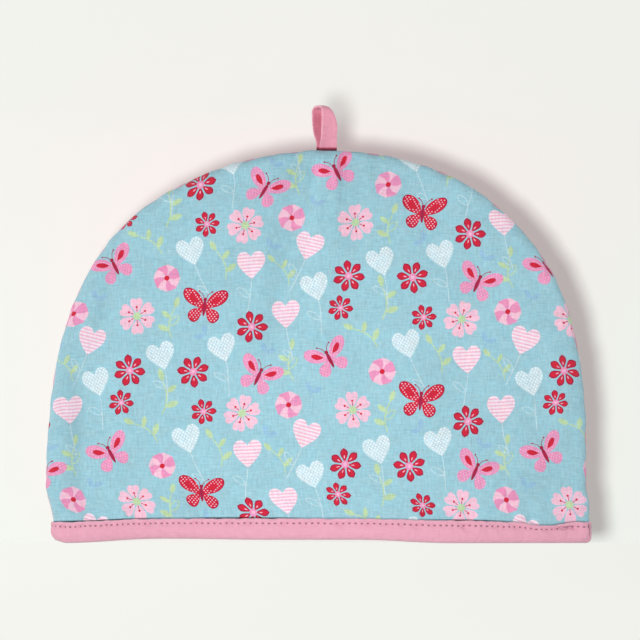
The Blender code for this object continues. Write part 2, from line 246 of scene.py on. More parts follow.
INKS = {
    "ground": (0.298, 0.560, 0.652),
    "crimson": (0.560, 0.016, 0.044),
    "wine": (0.350, 0.014, 0.060),
    "rose": (0.720, 0.282, 0.490),
    "blush": (0.780, 0.455, 0.620),
    "shell": (0.790, 0.515, 0.650),
    "cream": (0.810, 0.720, 0.800),
    "mist": (0.500, 0.700, 0.770),
    "snow": (0.720, 0.840, 0.900),
    "moss": (0.450, 0.650, 0.390),
    "sky": (0.270, 0.500, 0.680),
    "haze": (0.460, 0.670, 0.740),
}
REPEAT_WIDTH = 136.0
REPEAT_HEIGHT = 118.0
REPEAT_START = (-52, -12)
MARGIN = 30  # how far beyond the cloth a motif may stand and still be drawn
LINE = 0.62  # width of the thin stems
LONGEST_EDGE = 2.4  # between two points on the edge of a motif
COVERED = 12  # height of the cloth behind the binding


def turned(points, degrees, x=0.0, y=0.0, scale=1.0):
    """Points turned, scaled and moved. A negative scale mirrors them first."""
    c, s = math.cos(math.radians(degrees)) * abs(scale), math.sin(math.radians(degrees)) * abs(scale)
    way = math.copysign(1, scale)
    return [(x + c * px * way - s * py, y + s * px * way + c * py) for px, py in points]


def mirrored(points):
    return turned(points, 0, scale=-1)


def oval(x, y, wide, high=None, count=14):
    """Corners of an oval, wide and high from its middle. With no height it is round."""
    angles = np.arange(count) * (2 * math.pi / count)
    return [(x + wide * math.cos(a), y + (high or wide) * math.sin(a)) for a in angles]


def petal(turn, start, length, wide, tip=0.62, count=12):
    """A petal that points away from the middle. Its widest place is at the tip share of its length."""
    right = []
    for i in range(1, count // 2 + 1):
        t = i / (count // 2 + 1)
        round_end = math.sin(math.pi * t ** (math.log(0.5) / math.log(tip)))
        right.append((wide / 2 * max(0.0, round_end) ** 0.75, start + length * t))
    shape = [(0.0, start)] + right + [(0.0, start + length)] + [(-px, py) for px, py in reversed(right)]
    return turned(shape, turn)


def with_ends(knots):
    """Knots of a curve, with one more beyond each end."""
    knots = np.array(knots, dtype=float)
    return np.vstack([2 * knots[0] - knots[1], knots, 2 * knots[-1] - knots[-2]])


def between(ends, span, t):
    """A place on the smooth curve through some knots, a share of the way along one span."""
    a, b, c, d = ends[span : span + 4]
    return (b * 2 + (c - a) * t + (2 * a - 5 * b + 4 * c - d) * t**2 + (3 * b - a - 3 * c + d) * t**3) / 2


def curved(knots, steps=6):
    """Points on a smooth curve through the knots."""
    ends = with_ends(knots)
    line = [between(ends, span, k / steps) for span in range(len(knots) - 1) for k in range(steps)]
    return [tuple(p) for p in [*line, ends[-2]]]


def ring(knots, steps=3):
    """A closed smooth curve through the knots."""
    return curved(knots + knots[:1], steps)[:-1]


def drawn_line(points, width=LINE):
    """Corners of a thin drawn line, tapered at both ends."""
    points = np.array(points)
    along = np.gradient(points, axis=0)
    along /= np.linalg.norm(along, axis=1)[:, None]
    across = np.stack([-along[:, 1], along[:, 0]], axis=1) * width / 2
    across[[0, -1]] *= 0.5
    return [tuple(p) for p in points + across] + [tuple(p) for p in (points - across)[::-1]]


def holds(shape, x, y, margin=0.0):
    """Whether a place lies inside a closed shape, at least a margin from its edge."""
    inside = False
    for (ax, ay), (bx, by) in zip(shape, shape[1:] + shape[:1]):
        if (ay > y) != (by > y) and x < ax + (y - ay) / (by - ay) * (bx - ax):
            inside = not inside
        if margin:
            length = (bx - ax) ** 2 + (by - ay) ** 2
            t = 0 if length == 0 else min(1, max(0, ((x - ax) * (bx - ax) + (y - ay) * (by - ay)) / length))
            if math.hypot(ax + t * (bx - ax) - x, ay + t * (by - ay) - y) < margin:
                return False
    return inside


def dots_in(shape, ink, pitch=2.5, radius=0.52, clear=()):
    """Rows of small round dots that fill a shape and keep off some others."""
    xs, ys = zip(*shape)
    found = []
    y, row = min(ys) + pitch * 0.55, 0
    while y < max(ys):
        x = min(xs) + pitch * (0.5 if row % 2 else 1.0)
        while x < max(xs):
            if holds(shape, x, y, radius * 1.15) and not any(holds(c, x, y) for c in clear):
                found.append((ink, oval(x, y, radius, count=7)))
            x += pitch
        y += pitch * 0.62
        row += 1
    return found


# Each motif is a list of shapes, later ones on top: ink, corners and, for a stripe, the shape it stays in.


def daisy(size):
    """A crimson flower of seven petals with a wine edge round each."""
    turns = [360 * i / 7 for i in range(7)]
    shapes = [("wine", petal(turn, size * 0.10, size * 0.93, size * 0.50, 0.66)) for turn in turns]
    for turn in turns:
        shapes.append(("crimson", petal(turn, size * 0.18, size * 0.76, size * 0.34, 0.66)))
        shapes.append(("blush", petal(turn, size * 0.36, size * 0.24, size * 0.07, 0.5, 6)))
    return shapes + [("rose", oval(0, 0, size * 0.25, count=12)), ("blush", oval(0, 0, size * 0.12, count=8))]


def blossom():
    """A wide pale flower of six heart-tipped petals, with stamens."""
    tip = [(0, 2.0), (2.6, 5.0), (4.4, 8.8), (4.4, 11.6), (2.9, 13.2), (1.2, 13.1), (0, 12.1)]
    whole = tip + [(-px, py) for px, py in reversed(tip[1:-1])]
    stamen = drawn_line([(0, 2.0), (0.1, 4.2), (0, 6.2)], 0.55)
    turns = [60 * i for i in range(6)]
    shapes = [("shell", turned(whole, turn)) for turn in turns]
    for turn in turns:
        shapes.append(("wine", turned(stamen, turn)))
        shapes.append(("crimson", turned(oval(0, 6.7, 0.85, count=8), turn)))
    return shapes + [("moss", oval(0, 0, 2.9))]


def pinwheel():
    """A toy windmill of eight folded sails, pink and pale by turns."""
    sail = curved([(0, 0), (-1.4, 4.6), (-0.4, 9.2), (2.6, 8.4), (5.8, 6.6), (4.2, 3.0)], 2)
    shapes = [("rose" if i % 2 else "shell", turned(sail, 45 * i)) for i in range(8)]
    return shapes + [("crimson", oval(0, 0, 1.8, count=12))]


def butterfly(wing, spot, edge=None):
    """A butterfly with dotted wings and a crimson patch on each."""
    lower = [(1.1, -0.6), (5.2, -1.6), (9.4, -3.0), (11.4, -6.2), (10.2, -9.8), (7.0, -11.6), (3.8, -10.0),
             (1.7, -5.4)]
    upper = [(0.9, 1.5), (3.0, 6.6), (7.4, 11.0), (12.2, 12.7), (15.4, 11.6), (16.2, 8.4), (14.6, 4.6),
             (10.6, 1.2), (5.6, -0.6), (1.2, -0.9)]
    patch = [(3.4, 2.2), (6.4, 6.2), (10.0, 8.2), (11.4, 6.4), (8.4, 3.0)]
    feeler = drawn_line(curved([(0.4, 4.6), (2.0, 8.6), (4.6, 10.9)], 4), 0.5)
    right = [ring(lower), ring(upper), ring(patch), feeler, oval(4.9, 11.1, 0.7, count=7)]
    shapes = []
    for lower, upper, patch, feeler, knob in (right, [mirrored(shape) for shape in right]):
        if edge:
            shapes += [(edge, turned(shape, 0, 0, -0.1, 1.05)) for shape in (lower, upper)]
        shapes += [(wing, lower), (wing, upper), *dots_in(lower, spot), *dots_in(upper, spot, clear=[patch])]
        shapes += [("crimson", patch), ("wine", feeler), ("wine", knob)]
    return shapes + [("wine", oval(0, -1.0, 1.35, 6.6, 16)), ("wine", oval(0, 5.0, 1.5, count=10))]


def stem(bend, length, top, ink="haze"):
    """A thin drawn stem that hangs from its top, with two open leaves."""
    line = curved([(0, 0), (bend * 0.35, -length * 0.35), (bend, -length * 0.75), (bend * 1.5, -length)], 4)
    leaf = curved([(0, 0), (3.2, 1.2), (6.6, 4.2), (7.8, 7.2), (4.8, 6.8), (1.6, 4.2), (0, 0)], 4)
    shapes = [drawn_line(line)]
    for place, scale in ((0.52, 1.0), (0.80, -0.8)):
        x, y = line[int(len(line) * place)]
        shapes.append(drawn_line(turned(leaf, 0, x, y, scale), LINE * 0.9))
    return [(ink, turned(shape, 0, 0, top)) for shape in shapes]


def heart(striped):
    """A heart on a thin stem, striped pink or dotted white."""
    knots = [(0, -9.6), (2.4, -7.4), (5.6, -4.0), (8.3, -0.2), (9.3, 3.4), (8.4, 6.8), (5.8, 8.7),
             (2.6, 8.2), (0, 5.2)]
    half = curved(knots, 2)
    edge = half + [(-px, py) for px, py in reversed(half[1:-1])]
    shapes = stem(2.8, 23.0, -9.4)
    if not striped:
        return shapes + [("mist", edge), *dots_in(edge, "snow", 2.35, 0.62)]
    levels = [-8.6 + 2.25 * k for k in range(8)]
    stripes = [("cream", [(-11, y), (11, y), (11, y + 1.35), (-11, y + 1.35)], len(shapes)) for y in levels]
    return shapes + [("blush", edge)] + stripes


def sprig(ink="moss"):
    """A bent stalk with leaves on both sides, one of them open."""
    line = curved([(0, 0), (1.4, 6.5), (0.4, 13.0), (-2.6, 19.0)], 4)
    shapes = [(ink, drawn_line(line, 0.75))]
    for place, turn, length in ((0.25, -62, 8.0), (0.40, 50, 8.5), (0.66, -48, 7.0), (0.98, 22, 7.5)):
        leaf = turned(petal(turn, 0, length, length * 0.46, 0.5), 0, *line[int(len(line) * place)])
        shapes.append((ink, drawn_line(leaf + leaf[:1], 0.6) if turn == 50 else leaf))
    return shapes


def twin_leaf(ink="sky"):
    """Two small leaves on a short stalk."""
    leaves = [(ink, petal(turn, 0.2, 7.0, 3.4, 0.5, 10)) for turn in (-52, 44)]
    return [(ink, drawn_line([(0, -5), (0.5, -1.5), (0, 2.0)], 0.6)), *leaves]


# One repeat of the print: each motif, and its places, turns in degrees and scales. A negative scale mirrors.
REPEAT = [
    (twin_leaf(), [(19, 13, -24, 1), (117, 83, 61, 1), (21, 79, -26, 1), (48, 106, -15, 1)]),
    (sprig(), [(129, 0, 11, 1), (96, 81, 4, -1), (89, 16, 45, 1), (91, 33, -8, 1.1), (37, -5, 14, -1),
               (33, 55, 24, 0.9)]),
    (heart(False), [(107, 18, 16, 0.95), (128, 75, 16, -0.95), (90, 70, 16, -0.95), (49, 54, 16, -0.95)]),
    (heart(True), [(31, 37, 4, 0.95), (45, 80, -15, -0.95), (9, 68, 3, -0.95)]),
    (blossom(), [(5, 93, -13, -0.86), (74, 95, 5, 0.86)]),
    (daisy(10.0), [(70, 61, 7, -1), (110, 60, -19, 1), (10, 29, 13, 1)]),
    (butterfly("rose", "blush"), [(15, 116, -24, -0.84), (59, 9, 28, -0.84)]),
    (butterfly("crimson", "shell", "wine"), [(116, 101, -5, 0.84)]),
    (pinwheel(), [(92, 1, 0, 0.92), (34, 98, 0, 0.92)]),
    (daisy(8.0), [(65, 41, 7, -1), (117, 35, 16, 1)]),
]
REPEATS = [(column, row) for column in range(-3, 4) for row in range(-2, 5)]


# ---------------------------------------------------------------- settings


def length_setting(name, description, default):
    return FloatProperty(name=name, description=description, default=default, unit="LENGTH", precision=5)


def colour_setting(name, description, default):
    return FloatVectorProperty(name=name, description=description, default=default, subtype="COLOR")


class TeaCosySizes(PropertyGroup):
    """Sizes of the tea cosy that a maker would change."""

    width: length_setting("Width", "Across the side seams", 0.340)
    height: length_setting("Height", "Hem to the top of the seam", 0.247)
    depth: length_setting("Depth", "Front to back at the hem", 0.130)
    padding: length_setting("Padding", "Thickness of a panel", 0.008)
    loop_width: length_setting("Loop width", "Width of the hanging loop", 0.0112)
    stitch: length_setting("Stitch", "From one stitch to the next", 0.00384)
    thread: length_setting("Thread", "Thickness of the sewing thread", 0.00050)
    weave: length_setting("Weave", "From one thread of the cloth to the next", 0.00062)


class TeaCosyColours(PropertyGroup):
    """Colours of the cloths and of the room."""

    back: colour_setting("Back", "Plain cloth of the back", (0.76, 0.40, 0.50))
    lining: colour_setting("Lining", "Cloth of the inside", (0.80, 0.45, 0.54))
    binding: colour_setting("Binding", "Strip round the hem", (0.755, 0.365, 0.470))
    loop: colour_setting("Loop", "Hanging loop", (0.755, 0.315, 0.408))
    thread: colour_setting("Thread", "Sewing thread", (0.84, 0.43, 0.55))
    room: colour_setting("Room", "Floor and foot of the backdrop", (0.846, 0.915, 0.847))
    room_above: colour_setting("Room above", "Backdrop higher up", (0.874, 0.882, 0.834))


# ---------------------------------------------------------------- shape functions


def smoothstep(low, high, value):
    t = np.clip((value - low) / (high - low), 0, 1)
    return t * t * (3 - 2 * t)


def hump(distance, reach):
    """1 at no distance, falling smoothly to 0 at the reach."""
    near = np.minimum(np.abs(distance) / reach, 1)
    return np.cos(math.pi / 2 * near) ** 2


def plateau(rise, fall, value):
    """0, then 1 after the rise, then 0 after the fall."""
    return smoothstep(*rise, value) * (1 - smoothstep(*fall, value))


def bell(distance, reach):
    """1 at no distance, falling off all round."""
    return np.exp(-((distance / reach) ** 2))


def waves(rows, x):
    return sum(row["rise"] * hump(x - row["x"], row["reach"]) for row in rows)


def within(x, z, half, height):
    """How far inside a dome's outline a place lies: 1 at the middle of the hem, 0 on the outline."""
    return 1 - (x / half) ** 2 - (np.maximum(z, 0) / height) ** OUTLINE_POWER


def facing(x, z, degrees):
    """A place measured along and across a turned direction."""
    c, s = math.cos(math.radians(degrees)), math.sin(math.radians(degrees))
    return x * c + z * s, z * c - x * s


def unit(vectors):
    return vectors / np.maximum(np.linalg.norm(vectors, axis=-1), 1e-12)[..., None]


def run_along(line):
    """Distance along a line at each of its points."""
    return np.concatenate([[0], np.cumsum(np.linalg.norm(np.diff(line, axis=0), axis=1))])


def read_off(places, run, line):
    """Points of a line at some distances along it."""
    return np.stack([np.interp(places, run, line[:, k]) for k in range(line.shape[1])], axis=1)


def evenly(line, spacing):
    """Points at even distances along a line."""
    run = run_along(line)
    return read_off(np.linspace(0, run[-1], max(2, round(run[-1] / spacing)) + 1), run, line)


def sloped(place, u, w, step=0.0003):
    """Points on a surface, and its normal at each of them."""
    along = place(u + step, w) - place(u - step, w)
    up = place(u, w + step) - place(u, w - step)
    return place(u, w), unit(np.cross(along, up))


class Face:
    """The padded face of one panel and its lining. A place on the cloth is given flat, as it was cut."""

    def __init__(self, sizes, side):
        self.side = side
        self.half_width, self.height, self.padding = sizes.width / 2, sizes.height, sizes.padding
        self.bulge = sizes.depth / 2 - sizes.padding
        self.flat_half = self.half_width - RIM + RIM_CLOTH
        self.flat_height = self.height - RIM + RIM_CLOTH

    def depth_at(self, x, z, inner=False):
        """How deep the dome is at a place, without its padding."""
        half, height = self.half_width - SIDE_WALL * inner, self.height - TOP_WALL * inner
        taper = 1 - TAPER * (np.maximum(z, 0) / self.height) ** TAPER_POWER
        return self.bulge * taper * np.maximum(0, within(x, z, half, height)) ** (INNER_POWER if inner else 1)

    def outward(self, x, z, distance):
        """Places moved out, square to the outline."""
        across = x / self.half_width**2
        rise = OUTLINE_POWER / 2 * (np.maximum(z, 0) / self.height) ** (OUTLINE_POWER - 1) / self.height
        length = np.maximum(np.hypot(across, rise), 1e-9)
        return x + across / length * distance, z + rise / length * distance

    def fold_depth(self, x, z):
        deep = np.zeros_like(x)
        for fold in FOLDS[self.side]:
            down = (self.height - z) / (self.height - fold["foot_z"])
            middle = fold["top_x"] + (fold["foot_x"] - fold["top_x"]) * down
            deep += fold["depth"] * hump(x - middle, fold["half_width"]) * np.maximum(0, 1 - down**2)
        return deep

    def squeezed(self, x, y, z, inner=False):
        """Places squeezed in under the binding."""
        amount = -EDGE_SQUEEZE_IN if inner else EDGE_SQUEEZE_OUT
        amount = amount * (1 - smoothstep(BINDING_HEIGHT, BINDING_HEIGHT + SQUEEZE_REACH, z))
        slope = 2 * self.bulge * x / self.half_width**2
        length = np.hypot(slope, 1)
        edge = np.minimum(1, y / self.padding)
        return x - amount * slope / length * edge, y - amount / length * edge

    def settled(self, x, y, z):
        """Adds the dome's sway, the hem's lifts and the seam's opening, and faces the right way."""
        pinch = np.where(x < 0, PINCH_LEFT, PINCH_RIGHT) * smoothstep(*PINCH_ACROSS, np.abs(x))
        x = x * (1 - pinch * (1 - smoothstep(*PINCH_UP, z)))
        right = np.full_like(z, SWAY[0]["right"])
        for low, high in zip(SWAY, SWAY[1:]):
            right += (high["right"] - low["right"]) * smoothstep(low["height"], high["height"], z)
        x = x + right
        lift = waves(LIFTS[self.side], x) * (1 - smoothstep(BINDING_HEIGHT, 4 * BINDING_HEIGHT, z))
        wave = waves(BAND_WAVES[self.side], x) * hump(z - BINDING_HEIGHT, BINDING_HEIGHT - HEM_HEIGHT)
        mouth = 1 - smoothstep(*MOUTH_ACROSS, np.abs(x - LOOP_X + LOOP_STEP / 2))
        mouth = mouth * smoothstep(self.height - MOUTH_DOWN[0], self.height - MOUTH_DOWN[1], z)
        mouth = mouth * np.clip(1 - y / MOUTH_DEPTH, 0, 1)
        return np.stack([x, self.side * (y + GAP / 2 + MOUTH * mouth), z + lift + wave], axis=-1)

    def rim_place(self, u, w):
        """How far beyond the foot of the rim a place lies on the flat cloth."""
        wide, high = self.half_width - RIM, self.height - RIM
        low, far = np.zeros_like(u), np.full_like(u, RIM_CLOTH * 1.5)
        for _ in range(26):
            middle = (low + far) / 2
            beyond = within(u, w, wide + middle, high + middle) < 0
            low, far = np.where(beyond, middle, low), np.where(beyond, far, middle)
        return np.where(within(u, w, wide, high) < 0, (low + far) / 2, 0)

    def outer_base(self, u, w):
        """The plain padded shape, its rim rounded over."""
        past = self.rim_place(u, w)
        share = np.clip(1 - past / RIM_CLOTH, 0, 1)
        wide, high = self.half_width - RIM, self.height - RIM
        x, z = u * wide / (wide + past), w * high / (high + past)
        angle = SEAM_ANGLE + (math.pi / 2 - SEAM_ANGLE) * share
        rounding = (np.sin(angle) - math.sin(SEAM_ANGLE)) / (1 - math.sin(SEAM_ANGLE))
        depth = self.depth_at(x, z) * share**RIM_EASE
        depth += (self.padding - self.fold_depth(x, z) * share) * rounding
        x, z = self.outward(x, z, RIM * np.cos(angle))
        x, depth = self.squeezed(x, depth, z)
        return self.settled(x, depth, z)

    def lining_base(self, u, w):
        """The lining, for a place given as a share of its own outline."""
        x, z = u * (self.half_width - SIDE_WALL), w * (self.height - TOP_WALL)
        depth = self.depth_at(x, z, True)
        depth = np.where(depth < 1e-5, 0, depth)
        x, depth = self.squeezed(x, depth, z, True)
        return self.settled(x, depth, z)

    def inside_edge(self, u, w):
        """Roughly how far in from the seam a place lies on the flat cloth."""
        return np.maximum(within(u, w, self.flat_half, self.flat_height), 0) / NEAR_EDGE

    def relief(self, u, w):
        """How far the cloth stands out from the plain padded shape."""
        edge = self.inside_edge(u, w)
        soft = smoothstep(*SWELL_IN, edge) * smoothstep(*SWELL_UP, w)
        rise = np.zeros_like(u)
        for wave in SWELLS[self.side]:
            along, _ = facing(u, w, wave["turn"])
            rise += soft * wave["height"] * np.sin(2 * math.pi * along / wave["length"] + wave["phase"])
        around = np.arctan2(w + 0.03, u * 1.25) * 0.19
        seam, hem = plateau(*SEAM_BAND, edge), plateau(*HEM_BAND, w)
        for drag in SEAM_DRAGS:
            turn, phase = 2 * math.pi / drag["length"], drag["phase"]
            rise += seam * drag["height"] * np.sin(turn * around + phase + 1.7 * np.sin(around * 31))
            rise += hem * drag["height"] * np.sin(turn * (u + 0.2 * w) + phase * 2 + 1.4 * np.sin(u * 43))
        return rise - self.dented(u, w)

    def dented(self, u, w, shaded=False):
        deep = np.zeros_like(u)
        for dent in DENTS[self.side]:
            across, along = facing(u - dent["x"], w - dent["z"], dent["turn"])
            # when shaded, each dent is weighted by its shade column, for the painted shade
            depth = dent["depth"] * (dent.get("shade", 1) if shaded else 1)
            deep += depth * np.exp(-((across / dent["half_width"]) ** 2) - (along / dent["half_height"]) ** 2)
        return deep

    def painted_fold_shade(self, u, w):
        """Painted shade in the folds and dents, by their depth: it dims the cloth in them and lightens it on
        ridges.
        """
        deep = (self.fold_depth(u, w) * 0.7 + self.dented(u, w, True)) / FULL_SHADE_DEPTH
        return np.clip(deep, *SHADE_LIMITS) * smoothstep(0.002, 0.010, self.inside_edge(u, w))

    def outer(self, u, w):
        """Points of the outer face and the way out at each, with the cloth's small relief."""

        def raised(a, b):
            points, out = sloped(self.outer_base, a, b)
            return points + out * self.relief(a, b)[..., None]

        points, normals = sloped(raised, u, w)
        return points, -self.side * normals

    def lining(self, u, w):
        points, normals = sloped(self.lining_base, u, w, 0.002)
        return points, self.side * normals

    def outline(self, spacing):
        """The cut edge of the flat cloth, from the right end of the hem over the top to the left end."""
        low = math.asin((HEM_HEIGHT / self.flat_height) ** (OUTLINE_POWER / 2))
        angle = np.linspace(low, math.pi - low, 4000)
        u = self.flat_half * np.cos(angle)
        w = self.flat_height * np.maximum(np.sin(angle), 0) ** (2 / OUTLINE_POWER)
        return evenly(np.stack([u, w], axis=1), spacing)


# ---------------------------------------------------------------- meshes


def cosy_collection():
    """The collection that holds the cosy's own pieces."""
    found = bpy.data.collections.get("tea cosy")
    if not found:
        found = bpy.data.collections.new("tea cosy")
        bpy.context.scene.collection.children.link(found)
    return found


def piece(name, mesh):
    obj = bpy.data.objects.new(name, mesh)
    cosy_collection().objects.link(obj)
    return obj


def closed_piece(name, mesh):
    """A closed mesh as a smooth object whose faces all look outwards."""
    bm = bmesh.new()
    bm.from_mesh(mesh)
    bmesh.ops.recalc_face_normals(bm, faces=bm.faces)
    bm.to_mesh(mesh)
    bm.free()
    mesh.shade_smooth()
    mesh.set_sharp_from_angle(angle=math.radians(62))
    return piece(name, mesh)


def cloth_mesh(name, verts, faces, flat, **values):
    """A mesh with its flat cloth, corner by corner, and one value of each kind at every point."""
    mesh = bpy.data.meshes.new(name)
    mesh.from_pydata([tuple(v) for v in verts], [], faces)
    mesh.uv_layers.new(name="cloth").data.foreach_set("uv", np.array(flat, dtype=np.float32).ravel())
    for label, value in values.items():
        attribute = mesh.attributes.new(label, "FLOAT", "POINT")
        attribute.data.foreach_set("value", np.array(value, dtype=np.float32))
    return mesh


# ---------------------------------------------------------------- panels


def anticlockwise(corners):
    """The corners of a shape, in the order that keeps its inside on the left, with no long edge."""
    x, y = corners[:, 0], corners[:, 1]
    area = np.sum(x * np.roll(y, -1) - np.roll(x, -1) * y)
    corners = corners if area > 0 else corners[::-1]
    after = np.roll(corners, -1, axis=0)
    parts = np.maximum(np.ceil(np.linalg.norm(after - corners, axis=1) / LONGEST_EDGE).astype(int), 1)
    return np.array([a + (b - a) * k / n for a, b, n in zip(corners, after, parts) for k in range(n)])


def printed_shapes(face):
    """Every shape of the print on the panel, in layers: ink, corners in mm and the shape it stays in."""
    wide, high = face.flat_half * 1000, face.flat_height * 1000
    shapes = []
    for motif, (x, y, turn, scale) in [(motif, place) for motif, places in REPEAT for place in places]:
        for column, row in REPEATS:
            across = x + column * REPEAT_WIDTH + REPEAT_START[0]
            up = y + row * REPEAT_HEIGHT + (REPEAT_HEIGHT / 2 if column % 2 else 0) + REPEAT_START[1]
            if abs(across) > wide + MARGIN or not -MARGIN < up < high + MARGIN:
                continue
            numbers = {}
            for k, (ink, corners, *parent) in enumerate(motif):
                placed = anticlockwise(np.array(turned(corners, turn, across, up, scale)))
                on_cloth = within(*placed.T, wide, high).max() > 0
                if on_cloth and placed[:, 1].max() > COVERED:
                    numbers[k] = len(shapes) + 1
                    shapes.append((ink, placed, numbers.get(parent[0]) if parent else None))
    return shapes


def cloth_points(face, spacing):
    """Points for the flat outer cloth: its cut edge, then rings over the rim and an even spread inside."""
    edge = face.outline(spacing)
    hem = evenly(np.array([edge[-1], edge[0]]), spacing)[1:-1]
    inside = []
    for share in (0.25, 0.5, 0.75, 1.0):
        wide, high = face.flat_half - RIM_CLOTH * share, face.flat_height - RIM_CLOTH * share
        rim = edge / [face.flat_half, face.flat_height] * [wide, high]
        inside.append(rim[rim[:, 1] > HEM_HEIGHT + 0.001][:: 1 if share < 1 else 2])
    wide, high = face.half_width - RIM - spacing * 0.5, face.height - RIM - spacing * 0.5
    for r in range(1, int(face.flat_height / (spacing * 0.87)) + 1):
        u = (np.arange(-90, 91) + (0.5 if r % 2 else 0)) * spacing
        row = np.stack([u, np.full_like(u, HEM_HEIGHT + r * spacing * 0.87)], axis=1)
        inside.append(row[within(*row.T, wide, high) > 0])
    return np.concatenate([edge, hem]), np.concatenate(inside)


def face_up(flat, tris):
    """Triangles with their corners anticlockwise."""
    tris = np.array(tris)
    a, b, c = (flat[tris[:, k]] for k in range(3))
    area = (b[:, 0] - a[:, 0]) * (c[:, 1] - a[:, 1]) - (b[:, 1] - a[:, 1]) * (c[:, 0] - a[:, 0])
    tris[area < 0] = tris[area < 0][:, ::-1]
    return tris


def cut_up(points, faces, near):
    """Cuts the first face into triangles: all corners, where they come from, and triangles with owners."""
    points = [Vector(p) for p in points]
    verts, _, tris, sources, _, owners = delaunay_2d_cdt(points, [], faces, 1, near, True)
    return verts, sources, [(tri, set(owner)) for tri, owner in zip(tris, owners) if 0 in owner]


def flat_cloth(face, spacing, shapes):
    """Cuts the flat cloth into triangles along the print: points in metres, triangles and their inks."""
    border, inside = cloth_points(face, spacing)
    points = [tuple(p) for p in np.concatenate([border, inside]) * 1000]
    faces = [list(range(len(border)))]
    for _, corners, _ in shapes:
        faces.append(list(range(len(points), len(points) + len(corners))))
        points += [tuple(c) for c in corners]
    verts, _, tris = cut_up(points, faces, 1e-4)
    inks = []
    for _, owner in tris:
        layers = [number for number in owner if number and (shapes[number - 1][2] or 0) in owner]
        inks.append(shapes[max(layers) - 1][0] if layers else "ground")
    used = sorted({v for tri, _ in tris for v in tri})
    place = {v: i for i, v in enumerate(used)}
    flat = np.array([verts[v][:] for v in used]) / 1000
    return flat, face_up(flat, [[place[v] for v in tri] for tri, _ in tris]), inks


def flat_lining(face, spacing, border):
    """Cuts the lining into triangles inside its border, in shares of its outline."""
    pitch = spacing * LINING_MESH
    across = np.arange(-1, 1, pitch / face.half_width)
    up = np.arange(HEM_HEIGHT / face.height, 1, pitch / face.height)[1:]
    grid = np.array([(a, b) for b in up for a in across])
    flat = np.concatenate([border, grid[within(*grid.T, LINING_EDGE, LINING_EDGE) > 0]])
    _, sources, tris = cut_up(flat.tolist(), [list(range(len(border)))], 1e-6)
    return flat, face_up(flat, [[sources[v][0] for v in tri] for tri, _ in tris])


def border_loop(tris):
    """The cut edge of a cloth made of triangles, as corners in order."""
    edges = dict.fromkeys((tri[k], tri[(k + 1) % 3]) for tri in tris.tolist() for k in range(3))
    following = {start: end for start, end in edges if (end, start) not in edges}
    loop = [next(iter(following))]
    while following[loop[-1]] != loop[0]:
        loop.append(following[loop[-1]])
    return loop


def panel(name, face, spacing, shapes, materials):
    """A padded panel, closed all round: outer cloth, seam allowance and hem edge, and lining."""
    flat, tris, inks = flat_cloth(face, spacing, shapes)
    points, normals = face.outer(*flat.T)
    loop = border_loop(tris)
    inner_flat, inner_tris = flat_lining(face, spacing, flat[loop] / [face.flat_half, face.flat_height])
    inner_points, inner_normals = face.lining(*inner_flat.T)
    verts = np.concatenate([points, inner_points])
    base, count, way = len(points), len(loop), -face.side
    wall = [[loop[(i + 1) % count], loop[i], base + i, base + (i + 1) % count][::way] for i in range(count)]
    faces = tris[:, ::way].tolist() + wall + (inner_tris[:, ::-way] + base).tolist()
    corners = np.array([v for corner_list in faces for v in corner_list])
    cloth = np.concatenate([flat, inner_flat * [face.half_width, face.height] + LINING_PLACE])
    # painted shade of the folds and dents on the outer cloth; the lining gets none
    sunk = np.concatenate([face.painted_fold_shade(*flat.T) * PAINTED_SHADE_AT_FULL, np.zeros(len(inner_points))])
    mesh = cloth_mesh(name, verts, faces, cloth[corners], sunk=sunk)
    mesh.polygons.foreach_set("material_index", (np.arange(len(faces)) >= len(tris)).astype(np.int32))
    for material in materials:
        mesh.materials.append(material)
    colours = np.ones((len(corners), 4), dtype=np.float32)
    colours[: 3 * len(tris), :3] = np.repeat([INKS[ink] for ink in inks], 3, axis=0)
    print_layer = mesh.color_attributes.new(name="ink", type="FLOAT_COLOR", domain="CORNER")
    print_layer.data.foreach_set("color", colours.ravel())
    mesh.shade_smooth()
    ways = np.concatenate([normals, inner_normals])[corners]
    a, b, c = (verts[np.array(wall)[:, k]] for k in range(3))
    ways[3 * len(tris) :][: 4 * count] = np.repeat(unit(np.cross(b - a, c - a)), 4, axis=0)
    mesh.normals_split_custom_set(ways.tolist())
    mesh.validate()
    return piece(name, mesh)


# ---------------------------------------------------------------- binding, stitches and loop


